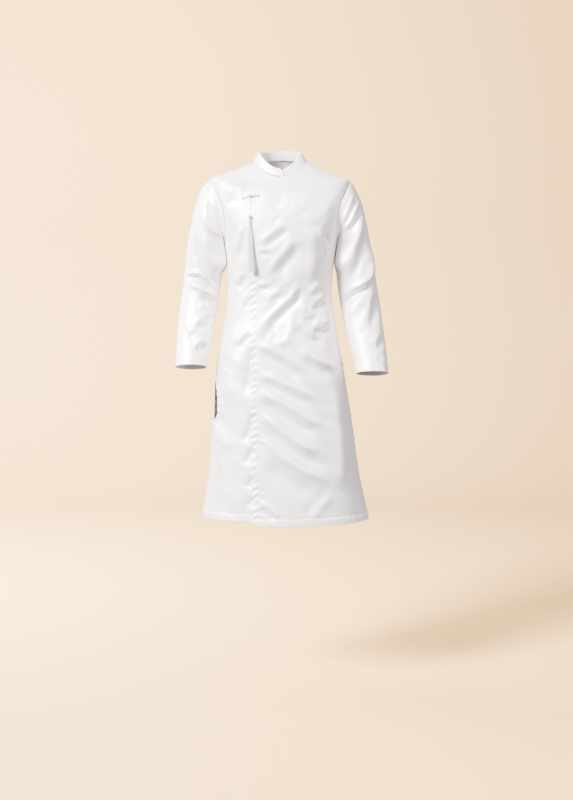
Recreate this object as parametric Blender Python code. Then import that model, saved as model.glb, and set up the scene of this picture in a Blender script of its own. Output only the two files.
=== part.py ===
"""Ao dai tunic of white satin, as a hollow worn shell. Metres, +Z up, the front faces -Y.

The origin is the middle of the neck base, between the two shoulder seams.
"""
import math

import bpy
import numpy as np

# ---------------------------------------------------------------- sizes
WALL = 0.0016            # cloth of the panels
HEM_WALL = 0.0024        # turned hems and cuffs
HEM_FRONT = -1.067       # lowest point of the left front
HEM_UNDER = -1.0577      # lowest point of the right front, which the left one hides
HEM_DEPTH = 0.0218       # height of a turned hem
HEM_STEP = 0.0012        # its upper edge slopes back over this height
SEAM_GAP = 0.00034       # space between two sewn pieces
UNDER_STEP = 0.0034      # how far the right front lies under the left one
UNDER_HEM_STEP = 0.003   # and this much more at the hem
UNDER_HEM_FROM, UNDER_HEM_OVER = -0.98, 0.05   # where that begins, and the height it takes
UNDER_FROM = 0.075       # it starts to dip this far before the overlapping edge
UNDER_OVER = 0.062       # and is all the way down after this width
PLACKET_WIDTH = 0.0195   # folded edge to stitch line
PUCKER_HEIGHT = 0.0021
PUCKER_SHAPE = (0.3, 1.0, 0.0)   # share of the height at the fold, in the middle, at the stitches
PUCKER_LENGTH = 0.0235
PUCKER_FROM, PUCKER_OVER = -0.36, 0.12   # where the puckers begin, and the height they grow over
PUCKER_ABOVE_HEM = 0.005
PUCKER_HEM_OVER = 0.02   # they fade to nothing over this height above the hem
PUCKER_STEPS = 6         # small rows between two rows of the panel
PUCKER_ROWS = 25         # rows of the panel from the hem that have puckers
PLACKET_COLUMNS = 3
LEFT_COLUMNS = 15
RIGHT_COLUMNS = 8
BACK_COLUMNS = 17
VENT_TOP = -0.575        # the side vents are open from here down to the hem
VENT_OPEN = 0.009        # how far each vent edge stands off at the hem
BACK_VENT = 1.3          # the back's edges stand off this much more
SWING = 0.060            # the right front's vent edge is drawn forward this far, at its most
SWING_AT = (-0.580, -0.690, -0.745, -0.785)   # where that starts, is full, and ends again
ARMHOLE_TURN = 29.5      # degrees of the ring that half an armhole takes
ARMHOLE_STEPS = 12       # rows from armpit to shoulder tip
ARMPIT_RING, TIP_RING, NECK_RING = 9.0, 11.0, 13.0
ROW_STEP = 0.0313        # height of a row of the skirt
SHOULDER_DIP = 0.006     # makes the shoulder seam straight between neck and tip
SHOULDER_TILT = 0.02     # the wearer's left shoulder hangs lower: metres per metre across
HEM_FLARE = 0.005        # the corners of the vents turn out this much, below this ring
FLARE_RING = 0.9
FLARE_FROM = 0.88        # sine of the turn past which they do

# Rings from the hem (0) to the neckline (13):
# side z, front z, back z, half width, middle x, front depth, back depth, power of the outline
RINGS = np.array([
    (-1.0670, -1.067, -1.064, 0.2480, 0.0135, 0.150, 0.150, 1.06),
    (-0.911, -0.909, -0.909, 0.2246, 0.0091, 0.142, 0.142, 0.98),
    (-0.774, -0.774, -0.774, 0.2098, 0.0041, 0.135, 0.136, 0.90),
    (-0.669, -0.669, -0.669, 0.1987, -0.0020, 0.130, 0.131, 0.84),
    (-0.561, -0.561, -0.561, 0.1816, -0.0037, 0.125, 0.126, 0.80),
    (-0.507, -0.507, -0.507, 0.1721, -0.0041, 0.119, 0.119, 0.80),
    (-0.453, -0.453, -0.453, 0.1628, -0.0022, 0.111, 0.108, 0.80),
    (-0.399, -0.399, -0.399, 0.1558, -0.0035, 0.107, 0.100, 0.80),
    (-0.338, -0.338, -0.338, 0.1560, -0.0015, 0.112, 0.106, 0.80),
    (-0.235, -0.235, -0.235, 0.1678, -0.0003, 0.124, 0.115, 0.80),
    (-0.140, -0.165, -0.140, 0.1900, 0.0, 0.122, 0.115, 0.82),
    (-0.0515, -0.105, -0.060, 0.2050, -0.0018, 0.105, 0.105, 0.92),
    (-0.0285, -0.072, -0.018, 0.1450, -0.0010, 0.083, 0.088, 0.96),
    (0.0, -0.046, 0.010, 0.0797, -0.0009, 0.066, 0.066, 1.00),
])

# x of the overlapping edge, by ring number
EDGE_AT = np.array([0.0, 1.0, 4.0, 7.0, 10.7, 11.0, 11.5, 12.0, 12.33, 12.67, 13.0])
EDGE_X = np.array([-0.083, -0.087, -0.092, -0.092, -0.090, -0.088, -0.078, -0.060,
                   -0.040, -0.018, 0.004])
UNDER_COLUMNS = 3        # columns of the left front that the right one reaches under

# Sleeve cap rings turn about the armpit: degrees from straight up, outer radius,
# half depth, how far front and back bend inward
CAP_RIGHT = ((13.5, 0.1885, 0.0690, 0.012), (20.0, 0.1755, 0.0680, 0.009),
             (28.0, 0.1560, 0.0660, 0.005), (43.0, 0.1275, 0.0630, 0.002),
             (65.0, 0.1080, 0.0600, 0.0))
CAP_LEFT = ((13.5, 0.1795, 0.0690, 0.012), (20.0, 0.1605, 0.0680, 0.009),
            (28.0, 0.1415, 0.0660, 0.005), (43.0, 0.1150, 0.0630, 0.002),
            (65.0, 0.0965, 0.0600, 0.0))
CAP_INNER = 0.005              # radius of a cap ring under the arm
CAP_MIDDLE_Y = 0.004
UNDERARM = (0.0045, -0.0040)   # from the armhole's lowest point to the pivot: outward, up
BACK_DROP = 14                 # folds behind a sleeve are the other sleeve's, this much lower
BACK_SHARE = 0.8               # and this much as high
# Arm rings: z, inner x, outer x, middle y, half depth, tilt in degrees
ARM_RIGHT = ((-0.253, 0.1685, 0.2820, 0.008, 0.0575, 0.0),
             (-0.293, 0.1650, 0.2870, 0.010, 0.0570, 0.0),
             (-0.335, 0.1750, 0.2900, 0.013, 0.0565, 3.0),
             (-0.377, 0.1830, 0.2955, 0.014, 0.0560, 7.0),
             (-0.423, 0.1893, 0.3020, 0.006, 0.0545, 11.0),
             (-0.477, 0.1990, 0.3070, -0.012, 0.0510, 13.0),
             (-0.528, 0.2065, 0.3105, -0.033, 0.0475, 14.0),
             (-0.570, 0.2140, 0.3118, -0.050, 0.0450, 14.0),
             (-0.604, 0.2190, 0.3128, -0.064, 0.0430, 14.0))
ARM_LEFT = ((-0.253, 0.1685, 0.2695, 0.008, 0.0575, 0.0),
            (-0.293, 0.1645, 0.2765, 0.010, 0.0570, 0.0),
            (-0.335, 0.1665, 0.2835, 0.013, 0.0565, 3.0),
            (-0.377, 0.1720, 0.2904, 0.014, 0.0560, 7.0),
            (-0.423, 0.1785, 0.2972, 0.008, 0.0545, 11.0),
            (-0.477, 0.1895, 0.3030, -0.008, 0.0515, 13.0),
            (-0.531, 0.2035, 0.3095, -0.030, 0.0480, 14.0),
            (-0.582, 0.2145, 0.3145, -0.050, 0.0455, 14.0),
            (-0.623, 0.2215, 0.3175, -0.066, 0.0435, 14.0))

# Large folds, in millimetres: points (x, z), half width, height (minus is a trough)
FRONT_FOLDS = (
    (((-68, -520), (32, -398)), 15, -6), (((-78, -478), (20, -372)), 14, 5),
    (((-63, -550), (20, -588), (140, -620)), 16, 5),
    (((-55, -660), (60, -700), (128, -742)), 17, -6),
    (((-52, -710), (60, -752), (126, -800)), 17, 7),
    (((-40, -780), (70, -826), (150, -868)), 18, 5),
    (((-20, -860), (60, -900), (120, -930)), 18, -5),
    (((76, -1062), (112, -1015), (150, -968)), 16, 6),
    (((-60, -1010), (-20, -1035), (10, -1064)), 13, -5),
    (((-135, -780), (-100, -738)), 15, 5), (((-116, -830), (-94, -800)), 14, -6),
    (((-178, -800), (-158, -860), (-150, -930)), 14, 6),
    (((58, -430), (104, -470)), 12, 5), (((84, -372), (110, -400)), 12, -5),
    (((118, -500), (150, -560)), 13, 5), (((104, -335), (112, -420)), 12, -5),
    (((98, -205), (99, -360)), 12, -5), (((118, -200), (140, -255)), 11, -5),
    (((-6, -345), (32, -255), (56, -215)), 12, -4),
    (((-64, -245), (-20, -218), (20, -190)), 10, -4),
    (((-150, -245), (-142, -330)), 11, 4), (((-118, -235), (-128, -320)), 11, 4),
    (((170, -640), (190, -800), (205, -1020)), 18, -7),
    (((-174, -470), (-182, -620), (-188, -770)), 11, -6),
)
BACK_FOLDS = (
    (((-60, -500), (-10, -410), (40, -372)), 15, -6), (((60, -520), (20, -440)), 15, 5),
    (((-120, -430), (-40, -405)), 14, 5), (((120, -440), (40, -420)), 14, 5),
    (((-90, -620), (-110, -800), (-140, -1050)), 20, 7),
    (((-20, -640), (-15, -840), (-30, -1055)), 20, -6),
    (((60, -600), (85, -800), (100, -1050)), 20, 7),
    (((150, -640), (170, -850), (190, -1040)), 18, -6),
    (((-110, -120), (-60, -240)), 14, -4), (((110, -120), (60, -240)), 14, -4),
)
SLEEVE_RIGHT_FOLDS = (
    (((-222, -125), (-206, -180), (-182, -225)), 10, -6),
    (((-240, -170), (-214, -215), (-192, -250)), 11, 5),
    (((-276, -335), (-240, -338), (-205, -350)), 12, 6),
    (((-250, -300), (-222, -340), (-192, -385)), 11, -6),
    (((-240, -402), (-205, -418), (-182, -440)), 12, 6),
    (((-245, -450), (-225, -500)), 12, -5), (((-290, -380), (-272, -470)), 12, 5),
)
SLEEVE_LEFT_FOLDS = (
    (((206, -75), (196, -130)), 9, 6), (((214, -100), (190, -195)), 9, -6),
    (((222, -130), (186, -205)), 9, 6), (((236, -170), (188, -235)), 9, -5),
    (((216, -260), (192, -350), (204, -374), (240, -362), (272, -300)), 10, 8),
    (((186, -425), (204, -392), (256, -374)), 11, -8),
    (((262, -420), (280, -520), (292, -600)), 12, 5),
    (((215, -470), (232, -540)), 12, -5),
)

# The zone round an armhole that keeps free of folds
ARMHOLE_MIDDLE = np.array([0.185, 0.0, -0.146])
ARMHOLE_HALF = np.array([0.060, 0.069, 0.093])
ARMHOLE_CHEST = 0.145    # past this x the zone reaches all the way out
ARMHOLE_FADE = 0.35      # the folds grow from nothing over this share of the zone's size
FOLD_FROM, FOLD_OVER = -0.07, 0.05   # and below the neck, from this height, over this height
STROKE_FADE = 0.3        # share of a stroke that fades in at each end
STROKE_TIP = 0.12        # how far on that fade has come at the very tip

WHITE = (0.90, 0.89, 0.87, 1.0)
SILK = (0.88, 0.87, 0.84, 1.0)
CORD = (0.84, 0.83, 0.80, 1.0)


# ---------------------------------------------------------------- small helpers
def unit(v):
    return v / np.maximum(np.linalg.norm(v, axis=-1, keepdims=True), 1e-12)


def smooth(t):
    t = np.clip(t, 0.0, 1.0)
    return t * t * (3.0 - 2.0 * t)


def hermite(keys, values, at):
    """Smooth curve through the values, one row of values for each key."""
    keys = np.asarray(keys, float)
    values = np.asarray(values, float)
    slopes = np.gradient(values, keys, axis=0)
    at = np.clip(np.asarray(at, float), keys[0], keys[-1])
    i = np.clip(np.searchsorted(keys, at, side="right") - 1, 0, len(keys) - 2)
    span = keys[i + 1] - keys[i]
    t = (at - keys[i]) / span
    shape = t.shape + (1,) * (values.ndim - 1)
    t = t.reshape(shape)
    span = span.reshape(shape)
    a = 2 * t ** 3 - 3 * t ** 2 + 1
    b = t ** 3 - 2 * t ** 2 + t
    c = -2 * t ** 3 + 3 * t ** 2
    d = t ** 3 - t ** 2
    return a * values[i] + b * span * slopes[i] + c * values[i + 1] + d * span * slopes[i + 1]


def body_point(turn, ring):
    """Point of the body shape. The turn is 0 at the front and 90 degrees at the wearer's left."""
    turn, ring = np.asarray(turn, float), np.asarray(ring, float)
    side, front, back, half, mid, fore, aft, power = np.moveaxis(
        hermite(np.arange(len(RINGS)), RINGS, ring), -1, 0)
    across, along = np.sin(turn), np.cos(turn)
    x = mid + half * np.sign(across) * np.abs(across) ** power
    depth = np.where(along > 0, fore, aft)
    y = -depth * np.sign(along) * np.abs(along) ** power
    z = side + (np.where(along > 0, front, back) - side) * along ** 2
    over_shoulder = np.sin(math.pi * np.clip(ring - TIP_RING, 0.0, 1.0)) ** 2
    z = z - SHOULDER_DIP * over_shoulder * across ** 4
    z = z - SHOULDER_TILT * x * smooth((ring - ARMPIT_RING) / 2.0) * smooth(NECK_RING - ring)
    flare = smooth((np.abs(across) - FLARE_FROM) / (1.0 - FLARE_FROM)) * smooth(1.0 - ring / FLARE_RING)
    return np.stack([x + HEM_FLARE * np.sign(across) * flare, y, z], axis=-1)


def body_normal(turn, ring):
    d_turn = body_point(turn + 0.01, ring) - body_point(turn - 0.01, ring)
    low = np.clip(np.asarray(ring, float) - 0.03, 0.0, NECK_RING)
    high = np.clip(np.asarray(ring, float) + 0.03, 0.0, NECK_RING)
    d_ring = body_point(turn, high) - body_point(turn, low)
    return unit(np.cross(d_turn, d_ring))


class BodyRow:
    """One ring of the body, measured along its length."""

    def __init__(self, ring):
        self.turn = np.radians(np.arange(-120.0, 300.01, 0.25))
        self.points = body_point(self.turn, np.full(self.turn.shape, float(ring)))
        steps = np.linalg.norm(np.diff(self.points, axis=0), axis=1)
        total = np.concatenate([[0.0], np.cumsum(steps)])
        self.length = total - np.interp(0.0, self.turn, total)
        self.front_z = float(np.interp(0.0, self.turn, self.points[:, 2]))

    def at_turn(self, degrees):
        return float(np.interp(math.radians(degrees), self.turn, self.length))

    def at_x(self, x):
        """Length at which the front of the ring has this x."""
        front = np.abs(self.turn) < math.radians(88.0)
        return float(np.interp(x, self.points[front, 0], self.length[front]))

    def turns_at(self, lengths):
        return np.interp(lengths, self.length, self.turn)

    def sample(self, lengths):
        return np.stack([np.interp(lengths, self.length, self.points[:, k]) for k in range(3)], axis=-1)


def stroke_height(points, facing, strokes):
    """Sum of soft strokes, seen in x and z. The facing weight is 1 where a stroke is in view."""
    total = np.zeros(points.shape[:-1])
    flat = points[..., [0, 2]] * 1000.0
    for line, half_width, height in strokes:
        line = np.asarray(line, float)
        best = np.full(total.shape, 1e9)
        along = np.zeros(total.shape)
        lengths = np.linalg.norm(np.diff(line, axis=0), axis=1)
        whole = lengths.sum()
        start = 0.0
        for a, b, length in zip(line[:-1], line[1:], lengths):
            t = np.clip(((flat - a) @ (b - a)) / length ** 2, 0.0, 1.0)
            far = np.linalg.norm(flat - (a + t[..., None] * (b - a)), axis=-1)
            near = far < best
            best = np.where(near, far, best)
            along = np.where(near, start + t * length, along)
            start += length
        ends = smooth(np.minimum(along, whole - along) / (STROKE_FADE * whole) + STROKE_TIP)
        total += height * 0.001 * np.exp(-(best / half_width) ** 2) * ends
    return total * facing


def body_folds(points, normals):
    """Fold height of the body, none at the neck, and little at the armholes."""
    front = smooth((-normals[..., 1] + 0.15) / 0.5)
    back = smooth((normals[..., 1] + 0.15) / 0.5)
    height = stroke_height(points, front, FRONT_FOLDS) + stroke_height(points, back, BACK_FOLDS)
    weight = smooth((FOLD_FROM - points[..., 2]) / FOLD_OVER)
    for side in (-1.0, 1.0):
        away = (points - ARMHOLE_MIDDLE * (side, 1.0, 1.0)) / ARMHOLE_HALF
        away[..., 0] *= np.where(points[..., 0] * side > ARMHOLE_CHEST, 0.0, 1.0)
        weight = weight * smooth((np.linalg.norm(away, axis=-1) - 1.0) / ARMHOLE_FADE)
    return height * weight


def shell(name, outer, inner, closed=False):
    """Closed thin body between an outer and an inner grid of points (rows, columns, xyz)."""
    rows, columns = outer.shape[:2]
    points = np.concatenate([outer.reshape(-1, 3), inner.reshape(-1, 3)])
    below = rows * columns
    spans = columns if closed else columns - 1
    faces = []
    for i in range(rows - 1):
        for j in range(spans):
            k = (j + 1) % columns
            a, b = i * columns + j, i * columns + k
            c, d = (i + 1) * columns + k, (i + 1) * columns + j
            faces.extend([(a, b, c), (a, c, d)])
            faces.extend([(below + c, below + b, below + a), (below + d, below + c, below + a)])
    for j in range(spans):
        k = (j + 1) % columns
        faces.append((k, j, below + j, below + k))
        top = (rows - 1) * columns
        faces.append((top + j, top + k, below + top + k, below + top + j))
    if not closed:
        for i in range(rows - 1):
            a, b = i * columns, (i + 1) * columns
            faces.append((a, b, below + b, below + a))
            a, b = a + columns - 1, b + columns - 1
            faces.append((b, a, below + a, below + b))
    return add_mesh(name, points, faces)


def add_mesh(name, points, faces):
    mesh = bpy.data.meshes.new(name)
    mesh.from_pydata([tuple(map(float, p)) for p in points], [], faces)
    mesh.validate()
    mesh.update()
    thing = bpy.data.objects.new(name, mesh)
    bpy.context.scene.collection.objects.link(thing)
    thing.parent = tunic
    if signed_volume(mesh) < 0:
        mesh.flip_normals()
    for polygon in mesh.polygons:
        polygon.use_smooth = True
    return thing


def signed_volume(mesh):
    total = 0.0
    for polygon in mesh.polygons:
        corners = [mesh.vertices[k].co for k in polygon.vertices]
        for a, b in zip(corners[1:-1], corners[2:]):
            total += corners[0].dot(a.cross(b)) / 6.0
    return total


def paint(thing, name, colour, roughness):
    material = bpy.data.materials.new(name)
    material.use_nodes = True
    shader = material.node_tree.nodes["Principled BSDF"]
    shader.inputs["Base Color"].default_value = colour
    shader.inputs["Roughness"].default_value = roughness
    shader.inputs["Metallic"].default_value = 0.0
    material.diffuse_color = colour
    thing.data.materials.append(material)


# ---------------------------------------------------------------- armholes and sleeves
LOOP_ANGLES = np.arange(2 * ARMHOLE_STEPS) * math.pi / ARMHOLE_STEPS
ARMHOLE_RING = (ARMPIT_RING + TIP_RING) / 2


def armhole_loop(side):
    """Points and body normals round an armhole, from the armpit forward and over the shoulder."""
    turn = side * np.radians(90.0 - ARMHOLE_TURN * np.sin(LOOP_ANGLES))
    ring = ARMHOLE_RING - np.cos(LOOP_ANGLES)
    return body_point(turn, ring), body_normal(turn, ring)


def sleeve_rings(side, loop, cap, arm):
    """Control rings of a sleeve, from the armhole to the cuff."""
    forward, inward = np.sin(LOOP_ANGLES), np.cos(LOOP_ANGLES)[:, None]
    armpit = loop[0] + np.array([side * UNDERARM[0], 0.0, UNDERARM[1]])
    rings = [loop]
    for degrees, radius, depth, bend in cap:
        angle = math.radians(degrees)
        along = np.array([side * math.sin(angle), 0.0, math.cos(angle)])
        inner = armpit + along * CAP_INNER
        outer = armpit + along * radius
        ring = (inner + outer) / 2 - inward * (outer - inner) / 2
        ring[:, 1] = CAP_MIDDLE_Y - depth * forward
        ring[:, 0] -= side * bend * forward ** 2
        rings.append(ring)
    for z, inner_x, outer_x, y, depth, tilt in arm:
        angle = math.radians(tilt)
        middle = np.array([side * (inner_x + outer_x) / 2, y, z])
        out = np.array([side * (outer_x - inner_x) / 2, 0.0, 0.0])
        fore = depth * np.array([0.0, -math.cos(angle), math.sin(angle)])
        rings.append(middle - inward * out + forward[:, None] * fore)
    return np.array(rings)


CUFF_AT = 13.38          # the rings past this one are the turned cuff
SLEEVE_AT = np.array([0, 0.5, 1, 1.5, 2, 2.5, 3, 4, 5, 6, 6.7, 7.4, 8, 8.6, 9.2, 9.8, 10.4,
                      11, 11.8, 12.6, 13.36, 13.4, 14])


def grid_normals(grid, side):
    """Outward normals of a tube of rings."""
    around = np.roll(grid, -1, axis=1) - np.roll(grid, 1, axis=1)
    down = np.gradient(grid, axis=0)
    return unit(np.cross(around, down)) * side


def make_sleeve(name, side, cap, arm, folds):
    loop, body_out = armhole_loop(side)
    control = sleeve_rings(side, loop, cap, arm)
    grid = hermite(np.arange(len(control)), control, SLEEVE_AT)
    normals = grid_normals(grid, side)
    middle = grid.mean(axis=1, keepdims=True)
    if np.mean(np.sum((grid - middle) * normals, axis=-1)[8:]) < 0:
        normals = -normals
    front = smooth((-normals[..., 1] + 0.2) / 0.5)
    free = smooth(np.arange(len(grid)) / 5.0)[:, None]
    height = stroke_height(grid, front, folds) * free
    mirrored = tuple((tuple((-x, z - BACK_DROP) for x, z in line), w, h) for line, w, h in
                     (SLEEVE_LEFT_FOLDS if side < 0 else SLEEVE_RIGHT_FOLDS))
    back = smooth((normals[..., 1] - 0.05) / 0.5)
    height += BACK_SHARE * stroke_height(grid, back, mirrored) * free
    outer = grid + normals * height[..., None]
    wall = np.where(SLEEVE_AT > CUFF_AT, HEM_WALL, WALL)[:, None, None]
    inner = outer - normals * wall
    seam_inner = loop - body_out * WALL
    tangent = unit(np.roll(loop, -1, axis=0) - np.roll(loop, 1, axis=0))
    into_sleeve = np.cross(tangent, normals[0])
    if (grid[1] - grid[0])[6] @ into_sleeve[6] < 0:
        into_sleeve = -into_sleeve
    outer[0] = loop + into_sleeve * SEAM_GAP / 2
    inner[0] = seam_inner + into_sleeve * SEAM_GAP / 2
    into_body = np.cross(tangent, body_out)
    if into_body[0, 2] > 0:
        into_body = -into_body
    seam = {"loop": loop, "inner": seam_inner, "into_body": into_body}
    return shell(name, outer, inner, closed=True), seam


# ---------------------------------------------------------------- body panels
def ring_at_height(z):
    """Ring number whose front middle is at this height, below the armpit."""
    rings = np.linspace(0.0, NECK_RING, 2601)
    heights = hermite(np.arange(len(RINGS)), RINGS, rings)[:, 1]
    return float(np.interp(z, heights, rings))


def hem_rows(low):
    return [ring_at_height(z) for z in (low, low + HEM_DEPTH, low + HEM_DEPTH + HEM_STEP)]


ARM_ROWS = [ARMHOLE_RING - math.cos(k * math.pi / ARMHOLE_STEPS) for k in range(ARMHOLE_STEPS + 1)]
HEM_ROWS = hem_rows(HEM_FRONT)
UNDER_HEM_ROWS = hem_rows(HEM_UNDER)
SKIRT_ROWS = [ring_at_height(HEM_FRONT + HEM_DEPTH + HEM_STEP + ROW_STEP * k) for k in range(1, 24)]
CHEST_ROWS = [ring_at_height(z) for z in (-0.294, -0.265)]
NECK_ROWS = [11.4, 11.8, 12.2, 12.6, 13.0]
FRONT_ROWS = HEM_ROWS + SKIRT_ROWS + CHEST_ROWS + ARM_ROWS + NECK_ROWS
UNDER_ROWS = UNDER_HEM_ROWS + FRONT_ROWS[3:]
BACK_ROWS = HEM_ROWS + SKIRT_ROWS[1::2] + CHEST_ROWS[1:] + ARM_ROWS + NECK_ROWS[::2]


EVEN_START, EVEN_SPAN = 8.93, 2.25   # the rings those rows start at and spread over


def even_ring(ring):
    """Ring number of a row away from the armholes, where the rows are evenly spread."""
    if not ARMPIT_RING <= ring <= TIP_RING:
        return ring
    return EVEN_START + EVEN_SPAN * math.acos(ARMHOLE_RING - ring) / math.pi


def vent(z):
    return VENT_OPEN * smooth((VENT_TOP - z) / (VENT_TOP - RINGS[0, 0]))


def swing(z):
    """How far the vent edge of the right front is drawn forward, along its row."""
    start, full, last, end = SWING_AT
    return SWING * smooth((start - z) / (start - full)) * smooth((z - end) / (last - end))


def build_grid(rows, columns, under=False):
    """Outer and inner grids of a panel. Its columns give a turn and a ring number for each point."""
    outer, inner = [], []
    for ring in rows:
        turns, rings = columns(ring)
        points, normals = body_point(turns, rings), body_normal(turns, rings)
        height = body_folds(points, normals)
        if under:
            edge = edge_x(even_ring(ring))
            deep = smooth((points[:, 0] - (edge - UNDER_FROM)) / UNDER_OVER)
            low = smooth((UNDER_HEM_FROM - points[:, 2]) / UNDER_HEM_OVER)
            height = height - (UNDER_STEP + UNDER_HEM_STEP * low) * deep
        wall = HEM_WALL if len(outer) < 2 else WALL
        outer.append(points + normals * height[:, None])
        inner.append(outer[-1] - normals * wall)
    return np.array(outer), np.array(inner)


def fit_armhole(rows, outer, inner, column, seam, front):
    """Move the armhole edge of a panel onto the sleeve seam."""
    for i, ring in enumerate(rows):
        if not ARMPIT_RING - 0.001 < ring < TIP_RING + 0.001:
            continue
        k = min(range(ARMHOLE_STEPS + 1), key=lambda n: abs(ARM_ROWS[n] - ring))
        index = k if front else (2 * ARMHOLE_STEPS - k) % (2 * ARMHOLE_STEPS)
        shift = seam["into_body"][index] * SEAM_GAP / 2
        if k in (0, ARMHOLE_STEPS):
            shift = shift + np.array([0.0, -1.0 if front else 1.0, 0.0]) * SEAM_GAP / 2
        outer[i, column] = seam["loop"][index] + shift
        inner[i, column] = seam["inner"][index] + shift


def edge_x(ring):
    return float(np.interp(ring, EDGE_AT, EDGE_X))


def side_turn(ring, side, face, row):
    """Turn of a panel's side or armhole edge. The face is 1 for a front and -1 for the back."""
    if ARMPIT_RING < ring < TIP_RING:
        half = ARMHOLE_TURN * math.sqrt(1.0 - (ring - ARMHOLE_RING) ** 2)
        return side * math.radians(90.0 - face * half)
    opening = vent(row.front_z) * (1.0 if face > 0 else BACK_VENT)
    if face > 0 > side:
        opening += swing(row.front_z)
    return float(row.turns_at(row.at_turn(side * 90.0) - side * face * (SEAM_GAP / 2 + opening)))


def placket_seam(ring, row):
    return row.at_x(edge_x(ring)) + PLACKET_WIDTH


def band_gap(ring):
    """Half the seam's gap along a row, wider where the seam slants across the rows."""
    return SEAM_GAP / 2 * (1.0 + 3.0 * smooth((ring - TIP_RING) / 0.6))


def left_columns(ring):
    row = BodyRow(even_ring(ring))
    start = placket_seam(even_ring(ring), row) + band_gap(ring)
    end = float(np.interp(side_turn(ring, 1, 1, row), row.turn, row.length))
    share = np.linspace(0.0, 1.0, LEFT_COLUMNS)
    turns = row.turns_at(start + (end - start) * share)
    return turns, even_ring(ring) + (ring - even_ring(ring)) * share ** 2


def placket_columns(ring):
    row = BodyRow(even_ring(ring))
    edge = row.at_x(edge_x(even_ring(ring)))
    lengths = np.linspace(edge, edge + PLACKET_WIDTH - band_gap(ring), PLACKET_COLUMNS)
    turns = row.turns_at(lengths)
    return turns, np.full(turns.shape, even_ring(ring))


def right_columns(ring):
    """The right front keeps the columns of the left one where it lies under it."""
    row = BodyRow(even_ring(ring))
    start = float(np.interp(side_turn(ring, -1, 1, row), row.turn, row.length))
    end = row.at_x(edge_x(even_ring(ring)))
    share = np.linspace(0.0, 1.0, RIGHT_COLUMNS)[:-1]
    turns = row.turns_at(start + (end - start) * share)
    rings = even_ring(ring) + (ring - even_ring(ring)) * (1.0 - share) ** 2
    band, left = placket_columns(ring), left_columns(ring)
    shared = slice(1, UNDER_COLUMNS + 1)
    return (np.concatenate([turns, band[0], left[0][shared]]),
            np.concatenate([rings, band[1], left[1][shared]]))


def back_columns(ring):
    row = BodyRow(even_ring(ring))
    start = float(np.interp(side_turn(ring, 1, -1, row), row.turn, row.length))
    last = side_turn(ring, -1, -1, row) + 2 * math.pi
    end = float(np.interp(last, row.turn, row.length))
    share = np.linspace(0.0, 1.0, BACK_COLUMNS)
    turns = row.turns_at(start + (end - start) * share)
    return turns, even_ring(ring) + (ring - even_ring(ring)) * (2.0 * share - 1.0) ** 2


def make_front_left(seam):
    outer, inner = build_grid(FRONT_ROWS, left_columns)
    fit_armhole(FRONT_ROWS, outer, inner, -1, seam, True)
    return shell("front_left", outer, inner)


def make_placket():
    """The folded edge band. Its seam edge is straight between rows and its free edge puckers."""
    outer, inner = build_grid(FRONT_ROWS, placket_columns)
    fine_outer, fine_inner = [], []
    for i in range(len(FRONT_ROWS)):
        last = i == len(FRONT_ROWS) - 1
        steps = PUCKER_STEPS if 2 < i < PUCKER_ROWS else 1
        for k in range(steps):
            t = k / steps
            step = 0 if last else 1
            a = outer[i] * (1 - t) + outer[i + step] * t
            b = inner[i] * (1 - t) + inner[i + step] * t
            rise = np.array(PUCKER_SHAPE) * PUCKER_HEIGHT
            level = smooth((PUCKER_FROM - a[0, 2]) / PUCKER_OVER)
            level = level * smooth((a[0, 2] - HEM_FRONT - PUCKER_ABOVE_HEM) / PUCKER_HEM_OVER)
            wave = 0.5 - 0.5 * math.cos(2 * math.pi * a[0, 2] / PUCKER_LENGTH)
            lift = unit(a - b) * (rise * level * wave)[:, None]
            fine_outer.append(a + lift)
            fine_inner.append(b + lift)
    return shell("front_placket", np.array(fine_outer), np.array(fine_inner))


def make_front_right(seam):
    outer, inner = build_grid(UNDER_ROWS, right_columns, True)
    fit_armhole(UNDER_ROWS, outer, inner, 0, seam, True)
    return shell("front_right", outer, inner)


def make_back(left_seam, right_seam):
    outer, inner = build_grid(BACK_ROWS, back_columns)
    fit_armhole(BACK_ROWS, outer, inner, 0, left_seam, False)
    fit_armhole(BACK_ROWS, outer, inner, -1, right_seam, False)
    return shell("back", outer, inner)


# ---------------------------------------------------------------- collar
COLLAR_WALL = 0.002
COLLAR_LIFT = 0.0006      # space above the neckline
COLLAR_HEIGHT = 0.0285    # at the side
COLLAR_FRONT_CUT = 0.006  # how much lower it is in front, and behind
COLLAR_BACK_CUT = 0.003
COLLAR_LEAN = 0.0168      # how far its top leans in at the side
COLLAR_SKEW = 0.022       # more on the wearer's left: metres per metre across
COLLAR_LEAN_CUT = 0.009   # how much less it leans in front and behind
COLLAR_BULGE = 0.0012
COLLAR_LEVELS = 4
COLLAR_COLUMNS = 48
SLIT_X = 0.0070
SLIT_HALF = 0.0013
CORNER = 0.009            # radius of the rounded top corners
CORNER_COLUMNS = np.array([0.0, 0.0015, 0.004, 0.008])
CORNER_END = 0.014


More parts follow.
